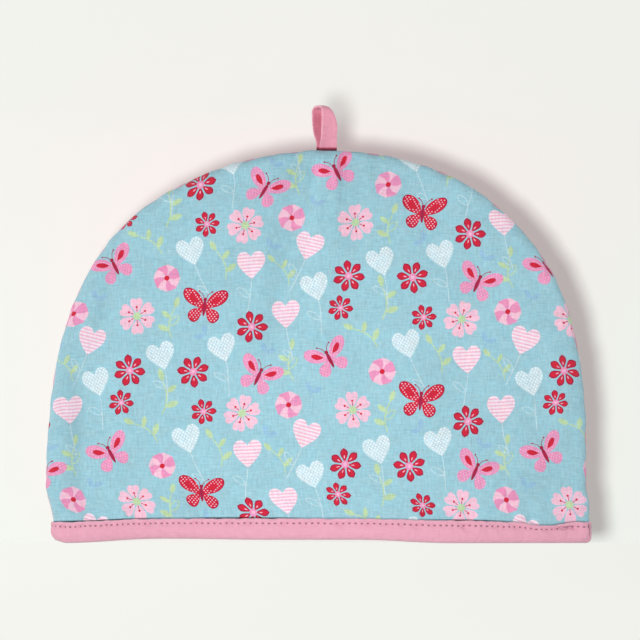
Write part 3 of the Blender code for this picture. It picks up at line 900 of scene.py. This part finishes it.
class HemPath:
    """The way round the hem, by distance from the right side seam: round the front first, then the back."""

    def __init__(self, sizes):
        front, back = Face(sizes, FRONT), Face(sizes, BACK)
        reach = front.half_width - RIM + RIM_CLOTH * (1 - BAND_SHARE)
        across = np.linspace(reach, -reach, int(2 * reach / HEM_STATION))
        share = across / reach * LINING_RING / (front.half_width - SIDE_WALL)
        self.levels = {}
        for height in (HEM_HEIGHT, BAND_TOP):
            level, up = np.full_like(across, height), np.full_like(across, height / (front.height - TOP_WALL))
            for leg, halves in (
                (OUTER, [front.outer_base(across, level), back.outer_base(-across, level)]),
                (INNER, [front.lining_base(share, up), back.lining_base(-share, up)]),
            ):
                line = np.concatenate(halves)
                way = np.roll(line, -1, axis=0) - np.roll(line, 1, axis=0)
                out = unit(np.stack([way[:, 1], -way[:, 0], np.zeros(len(way))], axis=1))
                if np.sum(out * line * [1, 1, 0]) < 0:
                    out = -out
                self.levels[leg, height] = np.vstack([line, line[:1]]), np.vstack([out, out[:1]])
        self.run = run_along(self.levels[OUTER, BAND_TOP][0])
        self.length = float(self.run[-1])
        self.front_length = float(self.run[len(across)]) - HEM_STATION / 2

    def at(self, run, leg, height):
        """Points beside one leg of the strip at one height, the way out there, and which are in front."""
        run = np.mod(run, self.length)
        share = min(1.0, max(0.0, (height - HEM_HEIGHT) / (BAND_TOP - HEM_HEIGHT)))
        low, high = self.levels[leg, HEM_HEIGHT], self.levels[leg, BAND_TOP]
        point, way = (read_off(run, self.run, a + (b - a) * share) for a, b in zip(low, high))
        on_front = run < self.front_length
        point[:, 2] = height
        for rows, share in ((LIFTS, 1), (BAND_WAVES, height / BINDING_HEIGHT)):
            front, back = (waves(rows[side], point[:, 0]) for side in (FRONT, BACK))
            point[:, 2] += np.where(on_front, front, back) * share
        return point, unit(way) * (1 if leg == OUTER else -1), on_front

    def lap(self, run):
        """How far the strip's end stands proud over its start."""
        past = np.maximum(run - LAP_AT, 0)
        return LAP_RISE * bell(past, LAP_REACH) * (0.7 + 0.3 * smoothstep(0, 0.0008, past))

    def columns(self, step):
        """Distances for the columns of the strip's mesh. The first ones lie under the lapped end."""
        under = [0.0, LAP_AT * 0.4, LAP_AT * 0.8, LAP_AT + 0.0007]
        rest = np.arange(math.ceil((LAP_AT + 0.0008) / step) * step, self.length - step * 0.4, step)
        return np.concatenate([under, [LAP_AT, LAP_AT + 0.0004], rest]), len(under)


def ripple(run, seed):
    """Uneven small waves along the strip, about 1 high."""
    total = np.zeros_like(run)
    for k, (length, high) in enumerate(RIPPLES):
        total += high * np.sin(2 * math.pi * run / length + seed * (k + 1.7) + 1.3 * np.sin(run * 37 + seed))
    return total


def strip_row(path, sizes, runs, under, leg, height, out):
    """Points of one row of the binding: its section, with the drag of the stitches, creases, lap and ends."""
    point, way, on_front = path.at(runs, leg, height)
    out = np.full_like(runs, out)
    if out[0] <= GAP:
        return point + way * out[:, None]
    full = smoothstep(0.0004, 0.0040, height) * (1 - 0.5 * smoothstep(0.0112, BINDING_HEIGHT, height))
    drag = ripple(runs + 1.1 * (STITCH_HEIGHT - height), 1.0 if leg == OUTER else 4.0)
    out += STRIP_DRAG * drag * full * (0.45 + bell(height - STITCH_HEIGHT, 0.0042))
    pull = np.cos(math.pi * runs / sizes.stitch) ** 2 - 0.5
    out -= STITCH_PULL * pull * bell(height - STITCH_HEIGHT, 0.0017)
    point[:, 2] += EDGE_RIPPLE * ripple(runs, 2.2) * smoothstep(0.006, BINDING_HEIGHT, height)
    if leg == OUTER:
        for crease in BAND_CREASES:
            away = point[:, 0] - crease["x"] + crease["slant"] * (height - crease["height"])
            ends = hump(height - crease["height"], crease["reach"])
            out -= crease["depth"] * bell(away, crease["half_width"]) * on_front * ends
        upper = np.arange(len(runs)) >= under
        out += path.lap(runs) * upper * smoothstep(0.0004, 0.0022, height)
        out[under - 1] -= UNDER_LAP
        right = hump(np.minimum(runs, path.length - runs), 0.0060)
        left = hump(runs - path.front_length, 0.0080)
        even = float(plateau((0.0008, 0.0030), (0.0126, 0.0134), height))
        out += np.maximum(right, left) * even * (END_OUT - out)
        out -= LEFT_TUCK * left * (1 - math.sqrt(1 - max(0, 1 - height / LEFT_TUCK_UP) ** 2))
        lifted = hump(runs - path.front_length, 0.0140)
        point[:, 2] += LEFT_LIFT * lifted * (1 - smoothstep(0, 0.0070, height))
    return point + way * out[:, None]


def hem_binding(path, sizes):
    """The folded strip, and the places of its two stitch lines across it."""
    runs, under = path.columns(sizes.stitch / 4)
    places = np.stack([strip_row(path, sizes, runs, under, *row) for row in BINDING_SECTION], axis=1)
    columns, rows = places.shape[:2]
    section = run_along(places[MEASURED_COLUMN])
    section = np.append(section, section[-1] + 0.006)
    ends = np.append(runs, path.length)
    faces, flat = [], []
    for c in range(columns):
        here, after = c * rows, (c + 1) % columns * rows
        for r in range(rows):
            below = (r + 1) % rows
            faces.append([here + r, after + r, after + below, here + below])
            near, far = (ends[c], section[r]), (ends[c + 1], section[r + 1])
            flat += [near, (far[0], near[1]), far, (near[0], far[1])]
    on_front = runs < path.front_length
    # deep holds painted shade: in the pinch of the stitch line and in the slit under the lapped end
    rub, deep = np.zeros((columns, rows)), np.zeros((columns, rows))
    for r, (leg, height, _) in enumerate(BINDING_SECTION):
        worn = max(1 - height / 0.0022, (height - 0.0122) / 0.0010, 0)
        rub[:, r] = min(1.0, worn) * (1 if leg == OUTER else 0.4)
        if leg == OUTER:
            # painted shadow in the slit under the lapped end
            slit = float(plateau((0.0040, 0.0060), (0.0114, 0.0122), height))
            pinched = on_front * (0.0100 < height < 0.0110)
            deep[:, r] = 0.7 * hump(places[:, r, 0] - PINCH_AT, 0.0066) * pinched
            deep[under - 2 : under, r] += slit
    verts = places.reshape(-1, 3)
    mesh = cloth_mesh("hem_binding_strip", verts, faces, flat, rub=rub.ravel(), sunk=deep.ravel())
    lines = [section[r] for r, row in enumerate(BINDING_SECTION) if row[1] == STITCH_HEIGHT]
    return closed_piece("hem_binding_strip", mesh), lines


def topstitch(path, sizes, material):
    """Stitches along the upper part of the binding, outside and inside, set a little into the cloth."""
    verts, faces = [], []
    sides, stations = 6, 7
    t = np.linspace(-1, 1, stations)
    thick = sizes.thread / 2 * (1 - 0.55 * np.abs(t) ** 3)
    for leg, i in [(leg, i) for leg in (OUTER, INNER) for i in range(int(path.length / sizes.stitch))]:
        half = sizes.stitch * (STITCH_SHARE + 0.02 * math.sin(i * 2.3))
        run = (i + 0.5) * sizes.stitch + half * t
        if leg == OUTER and run[0] < LAP_AT < run[-1]:
            continue
        centre, way, _ = path.at(run, leg, STITCH_HEIGHT)
        out = STITCH_OUT - STITCH_DIP * t**2
        if leg == OUTER:
            out = out + np.where(run > LAP_AT, path.lap(run), 0)
        centre += way * out[:, None]
        centre[:, 2] += STITCH_SKEW * math.sin(i * 1.7 + (0 if leg == OUTER else 2)) * t
        first = len(verts)
        for s in range(stations):
            for a in 2 * math.pi * np.arange(sides) / sides:
                verts.append(centre[s] + (way[s] * math.cos(a) + np.array([0, 0, math.sin(a)])) * thick[s])
        for s in range(first, first + (stations - 1) * sides, sides):
            for a, b in [(s + k, s + (k + 1) % sides) for k in range(sides)]:
                faces.append([a, b, b + sides, a + sides])
        cap = list(range(first, first + sides))
        faces += [cap[::-1], [k + (stations - 1) * sides for k in cap]]
    mesh = bpy.data.meshes.new("hem_topstitch")
    mesh.from_pydata([tuple(v) for v in verts], [], faces)
    mesh.materials.append(material)
    return closed_piece("hem_topstitch", mesh)


def strap_ring(place, run, along, rear, sizes):
    """Points round the strap at one place of its path, with how rubbed each is and how much painted shade it
    gets.
    """
    free, height = float(smoothstep(0.0005, 0.006, place[1])), place[1]
    yaw = LOOP_YAW * float(smoothstep(0, LOOP_TURN_HEIGHT, height))
    narrow = 1 - 0.045 * free * (0.5 + 0.5 * math.sin(run * 190))
    points = []
    for side, through in STRAP_SECTION:
        across = side * (sizes.loop_width / 2)
        thick = LOOP_CLOTH / 2 * through
        thick += free * 0.00012 * math.sin(run * 900 + side * 2.4) * (1 - side * side)
        thick -= 0.0004 * free * side * side * math.sin(run * 70)
        back, up = place[0] + thick * along[1], height - thick * along[0]
        up -= LOOP_SLANT * float(smoothstep(0.008, 0.0277, height)) * ((side + 1) / 2) ** 5.2
        x = across * narrow * math.cos(yaw) - back * math.sin(yaw)
        x -= LOOP_LEAN * float(smoothstep(0.003, 0.013, height))
        x -= LOOP_STEP * rear * (1 - float(smoothstep(0.003, 0.014, height)))
        y = across * narrow * math.sin(yaw) + back * math.cos(yaw)
        rub = max(0.0, (abs(side) - 0.86) / 0.14) * free
        # painted shade on the inner face of the bend, and dark at the foot where the strap goes into the seam
        inner = 0.072 * float(smoothstep(0.2, 0.8, through) * smoothstep(0.0275, 0.0200, height))
        sunk = max(inner, 1 - float(smoothstep(0.0009, 0.0026, height)))
        points.append((LOOP_X + x, y, sizes.height + up, rub, sunk))
    return points


def hanging_loop(sizes, material):
    """The folded strap on its path, and the length of that path."""
    ends = with_ends([(row["back"], row["up"]) for row in LOOP_PATH])
    spans, count = len(LOOP_PATH) - 1, len(STRAP_SECTION)
    route = []
    for place in np.arange(LOOP_STEPS + 1) * spans / LOOP_STEPS:
        span = min(spans - 1, int(place))
        route.append(between(ends, span, place - span))
    route = np.array(route)
    run = run_along(route)
    points = []
    for i in range(LOOP_STEPS + 1):
        along = route[min(LOOP_STEPS, i + 1)] - route[max(0, i - 1)]
        points += strap_ring(route[i], run[i], along / np.linalg.norm(along), i > LOOP_STEPS / 2, sizes)
    points = np.array(points)
    faces, flat = [], []
    places = [side * sizes.loop_width / 2 for side, _ in STRAP_SECTION]
    for i in range(LOOP_STEPS):
        for k in range(count):
            n, here = (k + 1) % count, i * count
            faces.append([here + k, here + n, here + count + n, here + count + k])
            a, b = (places[side] + (0 if k < count / 2 else UNDERSIDE_PLACE) for side in (k, n))
            flat += [(a, run[i]), (b, run[i]), (b, run[i + 1]), (a, run[i + 1])]
    last = LOOP_STEPS * count
    faces += [list(range(count))[::-1], list(range(last, last + count))]
    flat += [(place, 0) for place in places] * 2
    mesh = cloth_mesh("hanging_loop_strap", points[:, :3], faces, flat, rub=points[:, 3], sunk=points[:, 4])
    mesh.materials.append(material)
    return closed_piece("hanging_loop_strap", mesh), float(run[-1])


# ---------------------------------------------------------------- materials

SOCKETS = {"Place": "NodeSocketVector", "Normal": "NodeSocketVector", "Colour": "NodeSocketColor"}
NUMBER = "NodeSocketFloat"
RUBBED_PALE = (0.93, 0.74, 0.80, 1)  # the colour that a rubbed edge fades to


def fill(tree, made, inputs):
    """Fills a node's inputs, by name, or by number as in _0. A socket is linked."""
    for label, value in inputs.items():
        key = int(label[1:]) if label[0] == "_" else label.replace("_", " ")
        if isinstance(value, bpy.types.NodeSocket):
            tree.links.new(value, made.inputs[key])
        else:
            made.inputs[key].default_value = value


def node(tree, kind, settings=(), **inputs):
    """Adds a node, sets its options and fills its inputs."""
    made = tree.nodes.new("ShaderNode" + kind)
    for option, value in dict(settings).items():
        setattr(made, option, value)
    fill(tree, made, inputs)
    return made.outputs


def maths(tree, operation, *values):
    numbered = {f"_{k}": value for k, value in enumerate(values)}
    return node(tree, "Math", {"operation": operation}, **numbered)[0]


def times(tree, *values):
    result = values[0]
    for value in values[1:]:
        result = maths(tree, "MULTIPLY", result, value)
    return result


def noise(tree, place, scale, **inputs):
    return node(tree, "TexNoise", {}, Vector=place, Scale=scale, **inputs)[0]


def eased(tree, value, start, end):
    """0 at the start, easing to 1 at the end."""
    smooth = {"interpolation_type": "SMOOTHSTEP"}
    return node(tree, "MapRange", smooth, Value=value, From_Min=start, From_Max=end)[0]


def spread(tree, value, start, end, low, high):
    """The low value at the start, evenly up or down to the high value at the end."""
    return node(tree, "MapRange", {}, Value=value, From_Min=start, From_Max=end, To_Min=low, To_Max=high)[0]


def blended(tree, amount, first, second, blend="MIX"):
    """Two colours mixed by an amount."""
    return node(tree, "Mix", {"data_type": "RGBA", "blend_type": blend}, _0=amount, _6=first, _7=second)[2]


def scaled(tree, vector, factor):
    """A vector or colour times a number."""
    return node(tree, "VectorMath", {"operation": "SCALE"}, _0=vector, Scale=factor)[0]


# What goes on inside each shared group: its inputs come as sockets, and its outputs go back by label.


def plain_weave(group, place, spacing, slubs):
    """Plain weave with uneven threads: a shade to multiply a colour by, and a height."""
    place = scaled(group, place, maths(group, "DIVIDE", 1.0, spacing))
    x, y, _ = node(group, "SeparateXYZ", {}, _0=place)
    sines = [maths(group, "SINE", times(group, way, math.pi)) for way in (x, y)]
    warp, weft = (maths(group, "ABSOLUTE", sine) for sine in sines)
    checks = node(group, "TexChecker", {}, Vector=place, Scale=1.0)["Fac"]
    over = node(group, "Mix", {"data_type": "FLOAT"}, _0=checks, _2=warp, _3=weft)[0]
    threads = []
    for stretch, seed in (((1.0, 0.17, 1.0), 0.0), ((0.17, 1.0, 1.0), 7.3)):
        moved = node(group, "Mapping", {}, Vector=place, Location=(seed, seed, 0), Scale=stretch)[0]
        threads.append(noise(group, moved, 0.55, Detail=2.0, Roughness=0.6))
    both = maths(group, "SUBTRACT", maths(group, "ADD", *threads), 1.0)
    shade = maths(group, "MULTIPLY_ADD", over, 0.05, maths(group, "MULTIPLY_ADD", both, slubs, 0.97))
    return {"Shade": shade, "Height": maths(group, "ADD", over, both)}


def washed_cotton(group, place, size, patches):
    """How washing leaves cotton: broad faint patches of shade, and small crumples."""
    finer = maths(group, "DIVIDE", 1.0, size)
    broad = maths(group, "SUBTRACT", noise(group, place, finer, Detail=3.0, Roughness=0.55), 0.5)
    small = noise(group, place, times(group, finer, 4.5), Detail=2.0, Roughness=0.5, Distortion=0.6)
    return {"Shade": maths(group, "MULTIPLY_ADD", broad, patches, 1.0), "Crumple": small}


def cloth_relief(group, weave, crumple, weave_depth, crumple_depth):
    """Turns the weave's and the crumples' heights into a normal."""
    coarse = node(group, "Bump", {}, Strength=1.0, Distance=crumple_depth, Height=crumple)[0]
    fine = node(group, "Bump", {}, Strength=0.8, Distance=weave_depth, Height=weave, Normal=coarse)[0]
    return {"Normal": fine}


def rubbed_edge(group, colour, rub, grain):
    """Paler, drier cloth where an edge is rubbed."""
    return {"Colour": blended(group, times(group, rub, grain, 0.34), colour, RUBBED_PALE)}


def needle_hole_shade(group, place, spacing, line, radius):
    """Painted shade at each needle hole, as a mask: evenly along one line of the strip."""
    x, y, _ = node(group, "SeparateXYZ", {}, _0=place)
    turns = maths(group, "ADD", maths(group, "DIVIDE", x, spacing), 0.5)
    along = times(group, maths(group, "SUBTRACT", maths(group, "FRACT", turns), 0.5), spacing, 0.60)
    across = maths(group, "SUBTRACT", y, line)
    squares = [maths(group, "POWER", distance, 2.0) for distance in (along, across)]
    near = maths(group, "DIVIDE", maths(group, "SQRT", maths(group, "ADD", *squares)), radius)
    return {"Mask": eased(group, near, 1.35, 0.6)}


def binding_crevice(group, place, edge, width):
    """Painted shadow along the line where the padding goes down behind the binding's edge, as a mask."""
    height = node(group, "SeparateXYZ", {}, _0=place)[1]
    past = maths(group, "DIVIDE", maths(group, "SUBTRACT", height, edge), width)
    uneven = spread(group, noise(group, place, 17.0, Detail=1.0), 0.36, 0.60, 0.25, 1.0)
    return {"Mask": times(group, eased(group, past, 1.0, 0.0), uneven)}


DEPTHS = {"Weave Depth": 0.00006, "Crumple Depth": 0.0003}
GROUPS = {
    "plain weave": (plain_weave, {"Place": None, "Thread Spacing": 0.0006, "Slubs": 0.5}),
    "washed cotton": (washed_cotton, {"Place": None, "Patch Size": 0.03, "Patches": 0.06}),
    "cloth relief": (cloth_relief, {"Weave": 0.0, "Crumple": 0.0, **DEPTHS}),
    "rubbed edge": (rubbed_edge, {"Colour": None, "Rub": 0.0, "Grain": 0.5}),
    "needle hole shade": (needle_hole_shade, {"Place": None, "Spacing": 0.0038, "Line": 0.003, "Radius": 0.00054}),
    "binding crevice": (binding_crevice, {"Place": None, "Edge": 0.0135, "Width": 0.0009}),
}


def new_group(name, make, inputs):
    """A group of shader nodes. Its sockets are numbers, apart from the labels in SOCKETS."""
    group = bpy.data.node_groups.new(name, "ShaderNodeTree")
    for label, default in inputs.items():
        kind = SOCKETS.get(label, NUMBER)
        socket = group.interface.new_socket(label, in_out="INPUT", socket_type=kind)
        if kind == NUMBER:
            socket.default_value = default
    into = group.nodes.new("NodeGroupInput").outputs
    outputs = make(group, *[into[label] for label in inputs])
    for label in outputs:
        group.interface.new_socket(label, in_out="OUTPUT", socket_type=SOCKETS.get(label, NUMBER))
    fill(group, group.nodes.new("NodeGroupOutput"), outputs)
    return group


def shared(tree, name, **inputs):
    """Places a shared group, which is made the first time it is asked for, and gives its outputs."""
    made = tree.nodes.new("ShaderNodeGroup")
    made.node_tree = bpy.data.node_groups.get(name) or new_group(name, *GROUPS[name])
    fill(tree, made, inputs)
    return made.outputs


def new_material(name):
    material = bpy.data.materials.new(name)
    material.use_nodes = True
    return material, material.node_tree, material.node_tree.nodes["Principled BSDF"]


def plain_colour(tree, colour):
    tint = node(tree, "RGB")[0]
    tint.default_value = (*colour, 1)
    return tint


def finish_cloth(tree, shader, base, shade, normal, **values):
    """Joins a shaded colour and a normal to the material's shader, and sets its plain values."""
    fill(tree, shader, {"Base_Color": scaled(tree, base, shade), "Normal": normal, **values})


def cotton(name, weave, colour=None, slubs=0.30, patches=0.06, crumple=0.0003, holes=None, crevice_shadow=False,
           rubbed=False, sunk=None, faded=0.0):
    """A cotton cloth. With no colour it takes the print's inks from the mesh."""
    if name in bpy.data.materials:
        return bpy.data.materials[name]
    material, tree, shader = new_material(name)
    place = node(tree, "UVMap", {"uv_map": "cloth"})[0]
    threads = shared(tree, "plain weave", Place=place, Thread_Spacing=weave, Slubs=slubs)
    washed = shared(tree, "washed cotton", Place=place, Patches=patches)
    heights = {"Weave": threads["Height"], "Crumple": washed["Crumple"]}
    relief = shared(tree, "cloth relief", **heights, Crumple_Depth=crumple)
    if colour is None:
        base = node(tree, "VertexColor", {"layer_name": "ink"})[0]
    else:
        base = plain_colour(tree, colour)
    if rubbed:
        rub = node(tree, "Attribute", {"attribute_name": "rub"})["Fac"]
        base = shared(tree, "rubbed edge", Colour=base, Rub=rub, Grain=threads["Height"])["Colour"]
    if faded:
        uneven = maths(tree, "MULTIPLY_ADD", washed["Crumple"], 2.0, -0.5)
        base = blended(tree, uneven, base, (1 + faded, 1 - faded * 0.1, 1 - faded * 0.5, 1), "MULTIPLY")
    shade = times(tree, threads["Shade"], washed["Shade"])
    # painted shade: masks that dim the colour where shade falls, in needle holes, behind the binding's edge
    # and in folds
    painted_shading = []
    # painted shade in each needle hole along the stitch lines
    if holes:
        spacing, lines = holes
        for line in lines:
            mask = shared(tree, "needle hole shade", Place=place, Spacing=spacing, Line=float(line))["Mask"]
            painted_shading.append((mask, -0.64))
    # painted shadow along the line behind the binding's upper edge
    if crevice_shadow:
        painted_shading.append((shared(tree, "binding crevice", Place=place)["Mask"], -0.90))
    # the painted shade kept on the mesh dims the colour; with a factor it also deepens the colour by itself,
    # as bounced light would
    if sunk is not None:
        mask = node(tree, "Attribute", {"attribute_name": "sunk"})["Fac"]
        painted_shading.append((mask, -0.80))
        if sunk:
            base = blended(tree, maths(tree, "MINIMUM", times(tree, mask, sunk), 1.0), base, base, "MULTIPLY")
    for mask, strength in painted_shading:
        shade = times(tree, shade, maths(tree, "MULTIPLY_ADD", mask, strength, 1.0))
    looks = {"Roughness": 0.86, "Specular_IOR_Level": 0.22, "Sheen_Weight": 0.14, "Sheen_Roughness": 0.45}
    finish_cloth(tree, shader, base, shade, relief["Normal"], **looks)
    return material


def twisted_thread(colour):
    """Sewing thread with its slanting twist."""
    material, tree, shader = new_material("sewing thread")
    place = node(tree, "TexCoord")["Object"]
    slanting = {"bands_direction": "DIAGONAL"}
    twist = node(tree, "TexWave", slanting, Vector=place, Scale=900.0, Distortion=1.0)["Fac"]
    shade = maths(tree, "MULTIPLY_ADD", twist, 0.18, 0.88)
    bump = node(tree, "Bump", {}, Strength=0.5, Distance=0.00008, Height=twist)[0]
    finish_cloth(tree, shader, plain_colour(tree, colour), shade, bump, Roughness=0.6, Sheen_Weight=0.1)
    return material


# ---------------------------------------------------------------- stage

BACKDROP = 0.078  # how far behind the cosy's middle it stands
EYE_DISTANCE = 5.0
EYE_HEIGHT = 0.015
AIM_HEIGHT = 0.1404
FRAME_WIDTH = 0.403  # how much the camera takes in at that distance
FLOOR_TINT = (1.072, 0.997, 1.020)  # how the floor's colour differs from the room's
# Name, place and power of the lights that only reach the cosy
SOFT_LIGHTS = [
    ("fill light", (1.6, -2.7, 0.9), 13.0),
    ("side light", (-2.7, -1.35, 0.75), 4.4),
    ("left rim light", (-3.0, 1.4, 0.45), 52.0),
    ("right rim light", (3.0, 1.4, 0.45), 16.0),
    ("rear light", (0.6, 2.6, 0.9), 12.0),
]


def room_material(name, colour, above, glow, fall):
    """Pale paper that partly glows, to stay even, with painted light: it falls off to the right, and glows
    more high up, which lightens the loop's cast shadow. It is clear from behind.
    """
    material, tree, shader = new_material(name)
    tree.nodes.remove(shader)
    where = node(tree, "TexCoord")["Object"]
    x, y, z = node(tree, "SeparateXYZ", {}, _0=where)
    across = maths(tree, "DIVIDE", x, maths(tree, "MAXIMUM", maths(tree, "MULTIPLY_ADD", y, 0.2, 1.0), 0.4))
    # painted light: the paper is made darker towards the right
    falling = spread(tree, across, -0.2, 0.2, 1.012, fall)
    shade = times(tree, maths(tree, "MULTIPLY_ADD", noise(tree, where, 60.0), 0.012, 0.994), falling)
    tint = blended(tree, eased(tree, z, 0.10, 0.26), (*colour, 1), (*above, 1))
    shaded = scaled(tree, tint, shade)
    matt = node(tree, "BsdfDiffuse", {}, Color=shaded)[0]
    light = node(tree, "Emission", {}, Color=shaded, Strength=1.0)[0]
    # painted light: higher up the paper glows more, which lightens the loop's cast shadow
    glow_and_painted_light = maths(tree, "MULTIPLY_ADD", eased(tree, z, 0.254, 0.284), 0.5 * (1 - glow), glow)
    paper = node(tree, "MixShader", {}, _0=glow_and_painted_light, _1=matt, _2=light)[0]
    behind = node(tree, "NewGeometry")["Backfacing"]
    seen = node(tree, "MixShader", {}, _0=behind, _1=paper, _2=node(tree, "BsdfTransparent")[0])[0]
    tree.links.new(seen, tree.nodes["Material Output"].inputs["Surface"])
    return material


def room_plane(name, corners, material):
    mesh = bpy.data.meshes.new(name)
    mesh.from_pydata(corners, [], [(0, 1, 2, 3)])
    mesh.materials.append(material)
    obj = bpy.data.objects.new(name, mesh)
    bpy.context.scene.collection.objects.link(obj)
    for rays in ("diffuse", "glossy", "transmission", "shadow"):
        setattr(obj, "visible_" + rays, False)


def area_light(name, place, power, size=1.2, aim=(0, 0, 0.1)):
    light = bpy.data.lights.new(name, "AREA")
    light.shape = "DISK"
    light.size = size
    light.energy = power
    obj = bpy.data.objects.new(name, light)
    obj.location = place
    obj.rotation_euler = (Vector(aim) - Vector(place)).to_track_quat("-Z", "Y").to_euler()
    obj.visible_camera = False
    bpy.context.scene.collection.objects.link(obj)
    return obj


# ---------------------------------------------------------------- operators


def settings(context):
    return context.scene.tea_cosy_sizes, context.scene.tea_cosy_colours


class TEACOSY_OT_stage(Operator):
    """Makes the floor, the backdrop, the lights and the camera"""

    bl_idname = "tea_cosy.stage"
    bl_label = "Stage"

    def execute(self, context):
        scene = context.scene
        room, above = scene.tea_cosy_colours.room, scene.tea_cosy_colours.room_above
        floor_tint = [c * f for c, f in zip(room, FLOOR_TINT)]
        room_plane(
            "floor", [(-4, -14, 0), (4, -14, 0), (4, 14, 0), (-4, 14, 0)],
            room_material("floor paper", floor_tint, above, 1.0, 0.958),
        )
        room_plane(
            "backdrop", [(-4, BACKDROP, 0), (4, BACKDROP, 0), (4, BACKDROP, 4), (-4, BACKDROP, 4)],
            room_material("backdrop paper", room, above, 0.15, 0.990),
        )
        area_light("key light", (-0.36, -3.0, -0.15), 55.5, 0.45, (0, 0, 0.12))
        for name, place, power in SOFT_LIGHTS:
            light = area_light(name, place, power)
            light.light_linking.receiver_collection = cosy_collection()
        world = bpy.data.worlds.new("soft room")
        world.use_nodes = True
        tree, sky = world.node_tree, world.node_tree.nodes["Background"]
        seen = node(tree, "LightPath")["Is Camera Ray"]
        strength = maths(tree, "MULTIPLY_ADD", seen, 0.42, 0.46)
        fill(tree, sky, {"Color": (1.0, 0.975, 0.985, 1), "Strength": strength})
        scene.world = world
        scene.view_settings.view_transform = "Standard"
        camera = bpy.data.cameras.new("camera")
        camera.sensor_width = 36
        camera.lens = 36 * EYE_DISTANCE / FRAME_WIDTH
        camera.clip_end = 30
        eye = bpy.data.objects.new("camera", camera)
        eye.location = (0.0002, -EYE_DISTANCE, EYE_HEIGHT)
        eye.rotation_euler = (math.pi / 2 + math.atan((AIM_HEIGHT - EYE_HEIGHT) / EYE_DISTANCE), 0, 0)
        scene.collection.objects.link(eye)
        scene.camera = eye
        return {"FINISHED"}


class TEACOSY_OT_printed_panel(Operator):
    """Makes the padded front of printed cotton"""

    bl_idname = "tea_cosy.printed_panel"
    bl_label = "Printed front"

    def execute(self, context):
        sizes, colours = settings(context)
        face = Face(sizes, FRONT)
        washed = {"slubs": 0.42, "patches": 0.19, "crumple": 0.00045, "faded": 0.10}
        print_cloth = cotton("printed cotton", sizes.weave, crevice_shadow=True, sunk=0.0, **washed)
        lining = cotton("lining cotton", sizes.weave, colours.lining, patches=0.08)
        obj = panel("front_panel_cloth", face, FRONT_MESH, printed_shapes(face), [print_cloth, lining])
        if obj.dimensions.x < 0.3:
            raise RuntimeError("the printed front came out too small")
        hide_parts("front_panel")
        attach(obj, "root")
        return {"FINISHED"}


class TEACOSY_OT_plain_panel(Operator):
    """Makes the padded back of plain cotton"""

    bl_idname = "tea_cosy.plain_panel"
    bl_label = "Plain back"

    def execute(self, context):
        sizes, colours = settings(context)
        plain = cotton("plain cotton", sizes.weave, colours.back, patches=0.10, crevice_shadow=True, sunk=0.0)
        lining = cotton("lining cotton", sizes.weave, colours.lining, patches=0.08)
        obj = panel("back_panel_cloth", Face(sizes, BACK), BACK_MESH, [], [plain, lining])
        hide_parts("back_panel")
        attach(obj, "root")
        return {"FINISHED"}


class TEACOSY_OT_hem_binding(Operator):
    """Makes the strip folded over the hem, and its stitches"""

    bl_idname = "tea_cosy.hem_binding"
    bl_label = "Hem binding"

    def execute(self, context):
        sizes, colours = settings(context)
        path = HemPath(sizes)
        strip, lines = hem_binding(path, sizes)
        looks = {"slubs": 0.16, "crumple": 0.0008, "rubbed": True, "sunk": 0.0}
        cloth = cotton("binding cotton", sizes.weave, colours.binding, holes=(sizes.stitch, lines), **looks)
        strip.data.materials.append(cloth)
        stitches = topstitch(path, sizes, twisted_thread(colours.thread))
        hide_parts("hem_binding")
        for obj in (strip, stitches):
            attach(obj, "root")
        return {"FINISHED"}


class TEACOSY_OT_hanging_loop(Operator):
    """Makes the loop held in the top of the seam"""

    bl_idname = "tea_cosy.hanging_loop"
    bl_label = "Hanging loop"

    def execute(self, context):
        sizes, colours = settings(context)
        # the painted shade also deepens the pink by the colour times itself, a painted bounce of light inside
        # the loop
        cloth = cotton("loop cotton", sizes.weave, colours.loop, crumple=0.0002, rubbed=True, sunk=5.0)
        strap, length = hanging_loop(sizes, cloth)
        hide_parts("hanging_loop")
        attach(strap, "root")
        return {"FINISHED"}


class TEACOSY_PT_makers_panel(Panel):
    """Lists the pieces and their settings"""

    bl_idname = "TEACOSY_PT_makers_panel"
    bl_label = "Tea cosy"
    bl_space_type = "VIEW_3D"
    bl_region_type = "UI"
    bl_category = "Tea cosy"

    def draw(self, context):
        for group in settings(context):
            box = self.layout.box()
            for name in group.__annotations__:
                box.prop(group, name)
        for operator in PIECES:
            self.layout.operator(operator.bl_idname)


PIECES = (
    TEACOSY_OT_stage,
    TEACOSY_OT_printed_panel,
    TEACOSY_OT_plain_panel,
    TEACOSY_OT_hem_binding,
    TEACOSY_OT_hanging_loop,
)
CLASSES = (TeaCosySizes, TeaCosyColours, *PIECES, TEACOSY_PT_makers_panel)


def register():
    for cls in CLASSES:
        bpy.utils.register_class(cls)
    bpy.types.Scene.tea_cosy_sizes = PointerProperty(type=TeaCosySizes)
    bpy.types.Scene.tea_cosy_colours = PointerProperty(type=TeaCosyColours)


def unregister():
    del bpy.types.Scene.tea_cosy_sizes
    del bpy.types.Scene.tea_cosy_colours
    for cls in reversed(CLASSES):
        bpy.utils.unregister_class(cls)


def main():
    register()
    for operator in PIECES:
        family, name = operator.bl_idname.split(".")
        getattr(getattr(bpy.ops, family), name)()


if __name__ == "__main__":
    main()
